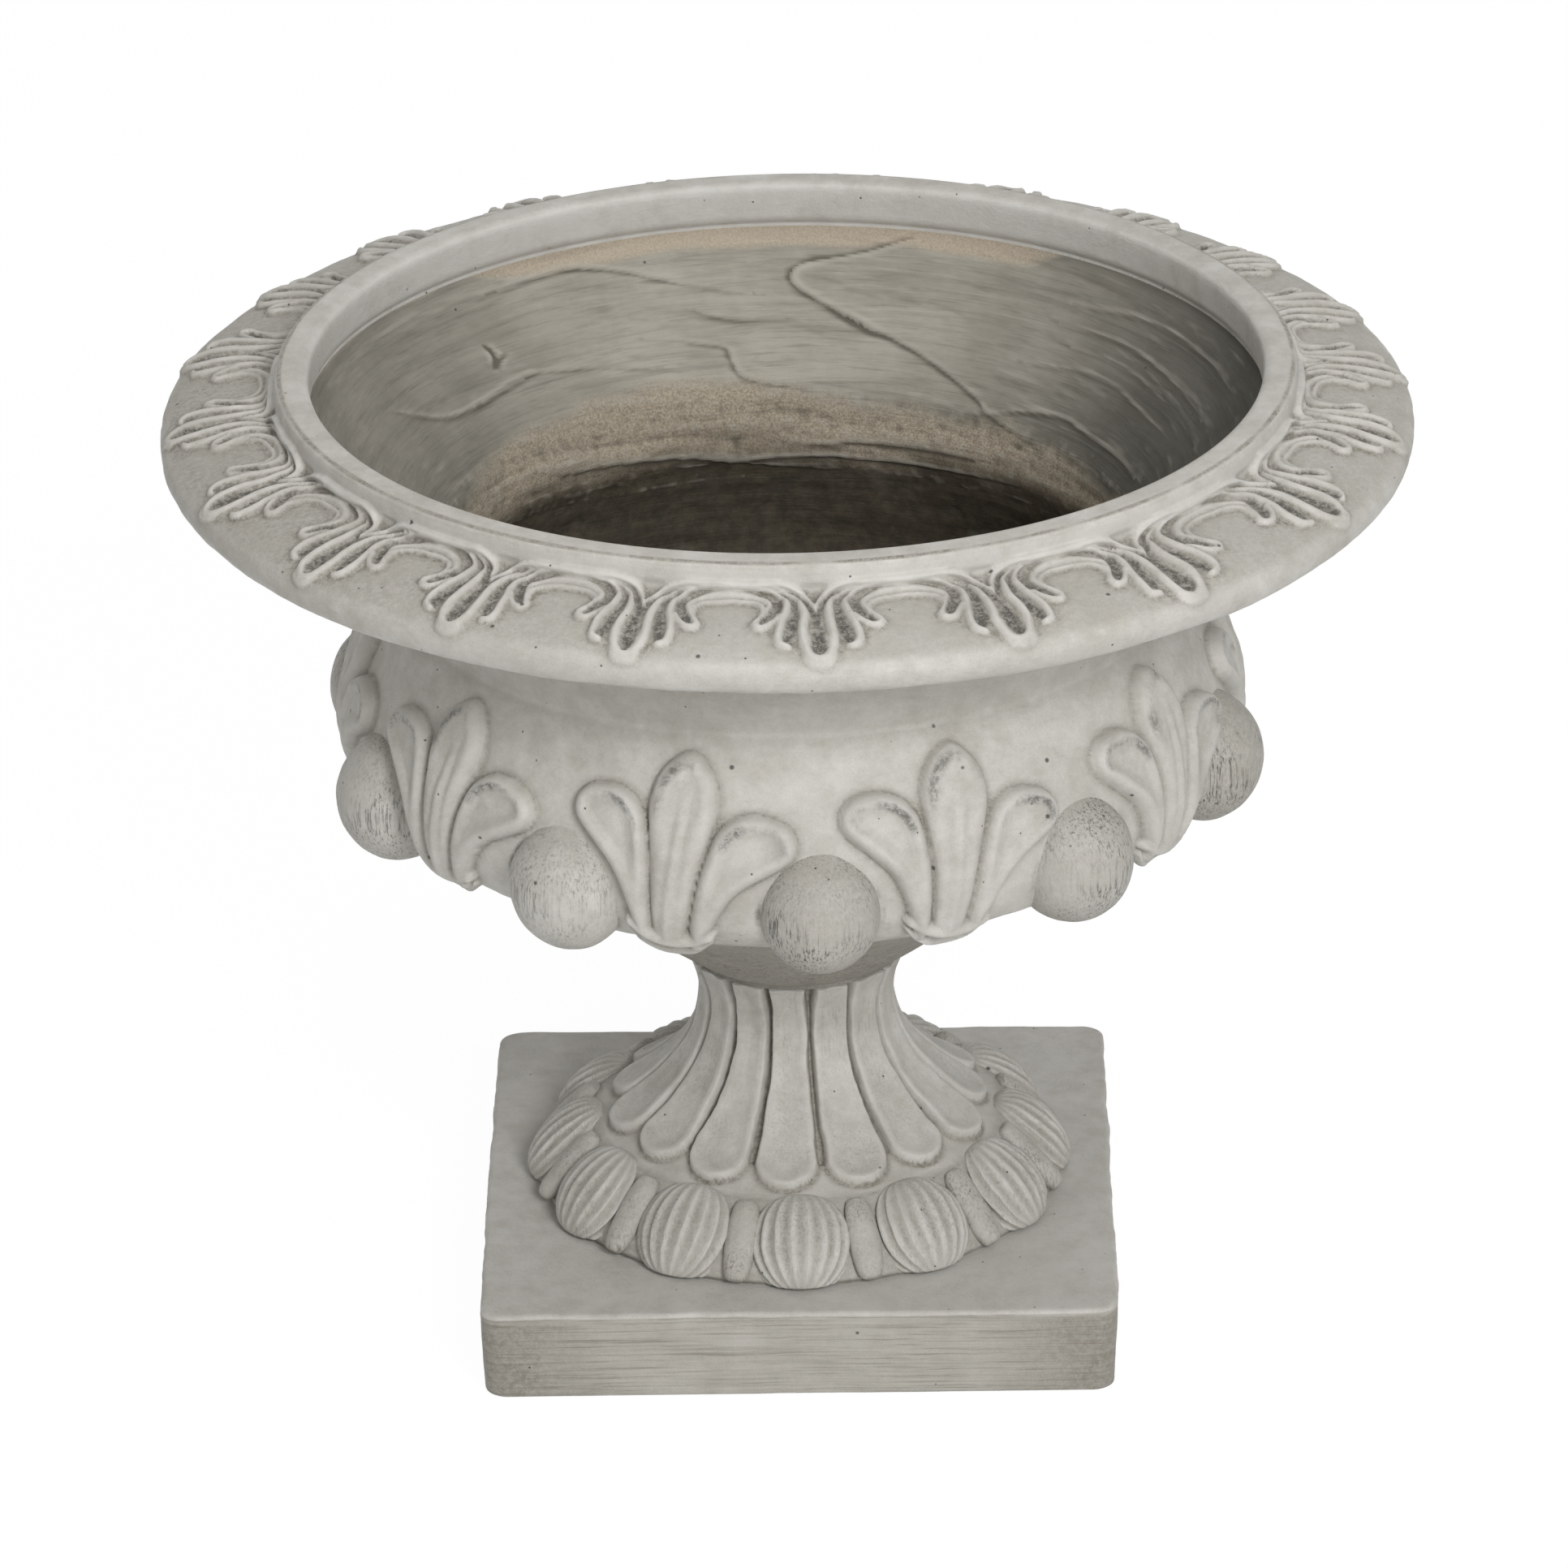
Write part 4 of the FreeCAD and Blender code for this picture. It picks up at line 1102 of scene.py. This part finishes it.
def add_block(plinth):
    block = plinth_rows()
    outer = np.linalg.norm(block[..., :2], axis=-1, keepdims=True)
    near_edge = ramp(118, 134, np.abs(block[..., :2]).max(-1, keepdims=True))
    arris = hump(block[..., 2:] - PLINTH_H + 2.0, 5.0) * near_edge
    worn = 0.7 * rough(block, 45.0, 141)[..., None] + 0.25 * rough(block, 9.0, 145)[..., None]
    worn -= 0.8 * arris * np.clip(rough(block, 22.0, 149), 0, 1)[..., None]
    stands = 0.3 + 0.7 * ramp(0.0, 3.0, block[..., 2:])
    block = block + block * (1, 1, 0) / outer * (worn - 0.4) * stands
    on_top = ramp(PLINTH_H - 3, PLINTH_H, block[..., 2:])
    block[..., 2:] += 0.35 * rough(block, 40.0, 151)[..., None] * on_top
    below_arris = hump(np.arange(len(block)) - DARK_ROW, 3.0)[:, None]
    dark_line = 0.8 * below_arris * np.clip(0.5 + rough(block, 30.0, 155), 0, 1)
    level = block[..., 2]
    ends = ramp(60, 132, np.abs(block[..., :2]).min(-1)) * ramp(PLINTH_H - 1, PLINTH_H - 4, level)
    # Painted shade darkens the top near the pedestal's foot, and painted light lightens the whole top
    near_foot = ramp(122, 100, outer[..., 0]) * (level > PLINTH_H - 2)
    top = level > PLINTH_H - 1.5
    plinth.rings(block, cav=0.55 * dark_line + 0.1 * near_foot - 0.55 * top + 0.62 * ends, brush=0.12 * top)


plinth = Shell("cav", "brush", "gouged")
plinth.rings(turned(np.array(PLINTH_HOLE), columns(HIDDEN_COLUMNS)))
add_block(plinth)
plinth.rings(turned(np.array(PLINTH_SOLE), columns(HIDDEN_COLUMNS)))
plinth.close()
plinth.build("plinth_cast", [PLINTH_MATERIAL], "cast_concrete", "plinth")

# Pieces kept from the solid model

for node, material in (
    ("neck_mortar", MORTAR),
    ("foot_mortar", MORTAR),
    ("drain_sleeve", PLASTIC),
    ("neck_dowels", STEEL),
    ("foot_dowels", STEEL),
):
    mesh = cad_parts[node].data
    mesh.materials.clear()
    mesh.materials.append(material)

# Floor, backdrop, light and camera; sizes here are in metres

FLOOR_HALF = 30.0
FLOOR_DROP = 0.0003
FLOOR_WHITE = 1.04
FLOOR_SHOWN = 0.93
DOME_STRENGTH = 0.3


def seen_share(tree):
    """A socket that is 1 for what the camera sees, straight, mirrored or through glass."""
    paths = tree.nodes.new("ShaderNodeLightPath")
    share = paths.outputs["Is Camera Ray"]
    for ray in ("Is Glossy Ray", "Is Transmission Ray"):
        either = tree.nodes.new("ShaderNodeMath")
        either.operation = "MAXIMUM"
        tree.links.new(share, either.inputs[0])
        tree.links.new(paths.outputs[ray], either.inputs[1])
        share = either.outputs[0]
    return share


def tinted(tree, kind, colour, strength=None):
    node = tree.nodes.new(kind)
    node.inputs["Color"].default_value = colour
    if strength is not None:
        node.inputs["Strength"].default_value = strength
    return node


def blended(tree, share, a, b, output):
    """Two shaders mixed by share and joined to the tree's output."""
    blend = tree.nodes.new("ShaderNodeMixShader")
    tree.links.new(share, blend.inputs[0])
    tree.links.new(a.outputs[0], blend.inputs[1])
    tree.links.new(b.outputs[0], blend.inputs[2])
    tree.links.new(blend.outputs[0], tree.nodes.new(output).inputs["Surface"])


floor_mesh = bpy.data.meshes.new("floor")
corners = [(x * FLOOR_HALF, y * FLOOR_HALF, -FLOOR_DROP) for x, y in ((-1, -1), (1, -1), (1, 1), (-1, 1))]
floor_mesh.from_pydata(corners, [], [(0, 1, 2, 3)])
floor = added("floor", floor_mesh)
floor_material = bpy.data.materials.new("pale_floor")
floor_material.use_nodes = True
tree = floor_material.node_tree
tree.nodes.clear()
shown = tree.nodes.new("ShaderNodeMath")
shown.operation = "MULTIPLY"
shown.inputs[1].default_value = FLOOR_SHOWN
tree.links.new(seen_share(tree), shown.inputs[0])
pale = tinted(tree, "ShaderNodeBsdfDiffuse", (0.82, 0.82, 0.82, 1))
white = tinted(tree, "ShaderNodeEmission", (1, 1, 1, 1), FLOOR_WHITE)
blended(tree, shown.outputs[0], pale, white, "ShaderNodeOutputMaterial")
floor_mesh.materials.append(floor_material)

world = bpy.data.worlds.new("studio")
bpy.context.scene.world = world
world.use_nodes = True
tree = world.node_tree
tree.nodes.clear()
dome_light = tinted(tree, "ShaderNodeBackground", (1, 0.97, 0.91, 1), DOME_STRENGTH)
backdrop = tinted(tree, "ShaderNodeBackground", (1, 1, 1, 1), 1.0)
blended(tree, seen_share(tree), dome_light, backdrop, "ShaderNodeOutputWorld")


def soft_light(name, place, aim, size, power):
    data = bpy.data.lights.new(name, "AREA")
    data.shape = "DISK"
    data.size = size
    data.energy = power
    ob = added(name, data)
    ob.location = place
    ob.rotation_euler = (Vector(aim) - Vector(place)).to_track_quat("-Z", "Y").to_euler()


soft_light("key", (1.0, -2.9, 2.0), (0, 0, 0.24), 1.1, 70.0)
soft_light("fill_left", (-2.4, -1.8, 1.3), (0, 0, 0.25), 1.2, 5.0)
soft_light("top", (0.1, -0.2, 3.0), (0, 0, 0.2), 1.6, 17.0)

camera_data = bpy.data.cameras.new("camera")
camera_data.sensor_fit = "HORIZONTAL"
camera_data.sensor_width = SENSOR_WIDTH
camera_data.lens = SENSOR_WIDTH * FOCAL_PX / PHOTO_PX
camera_data.clip_end = 100.0
camera = added("camera", camera_data)
level_part = math.cos(CAMERA_PITCH)
forward = Vector(
    (math.sin(CAMERA_YAW) * level_part, math.cos(CAMERA_YAW) * level_part, -math.sin(CAMERA_PITCH))
)
level_right = forward.cross(Vector((0, 0, 1))).normalized()
level_up = level_right.cross(forward)
right = math.cos(CAMERA_ROLL) * level_right + math.sin(CAMERA_ROLL) * level_up
above = math.cos(CAMERA_ROLL) * level_up - math.sin(CAMERA_ROLL) * level_right
facing = Matrix((right, above, -forward)).transposed().to_4x4()
spot = Matrix.Translation(Vector((0, -CAMERA_BACK, CAMERA_UP)) * MM)
camera.matrix_world = Matrix.Rotation(math.radians(OBJECT_TURN), 4, "Z") @ spot @ facing
bpy.context.scene.camera = camera

bpy.context.scene.view_settings.view_transform = "Standard"
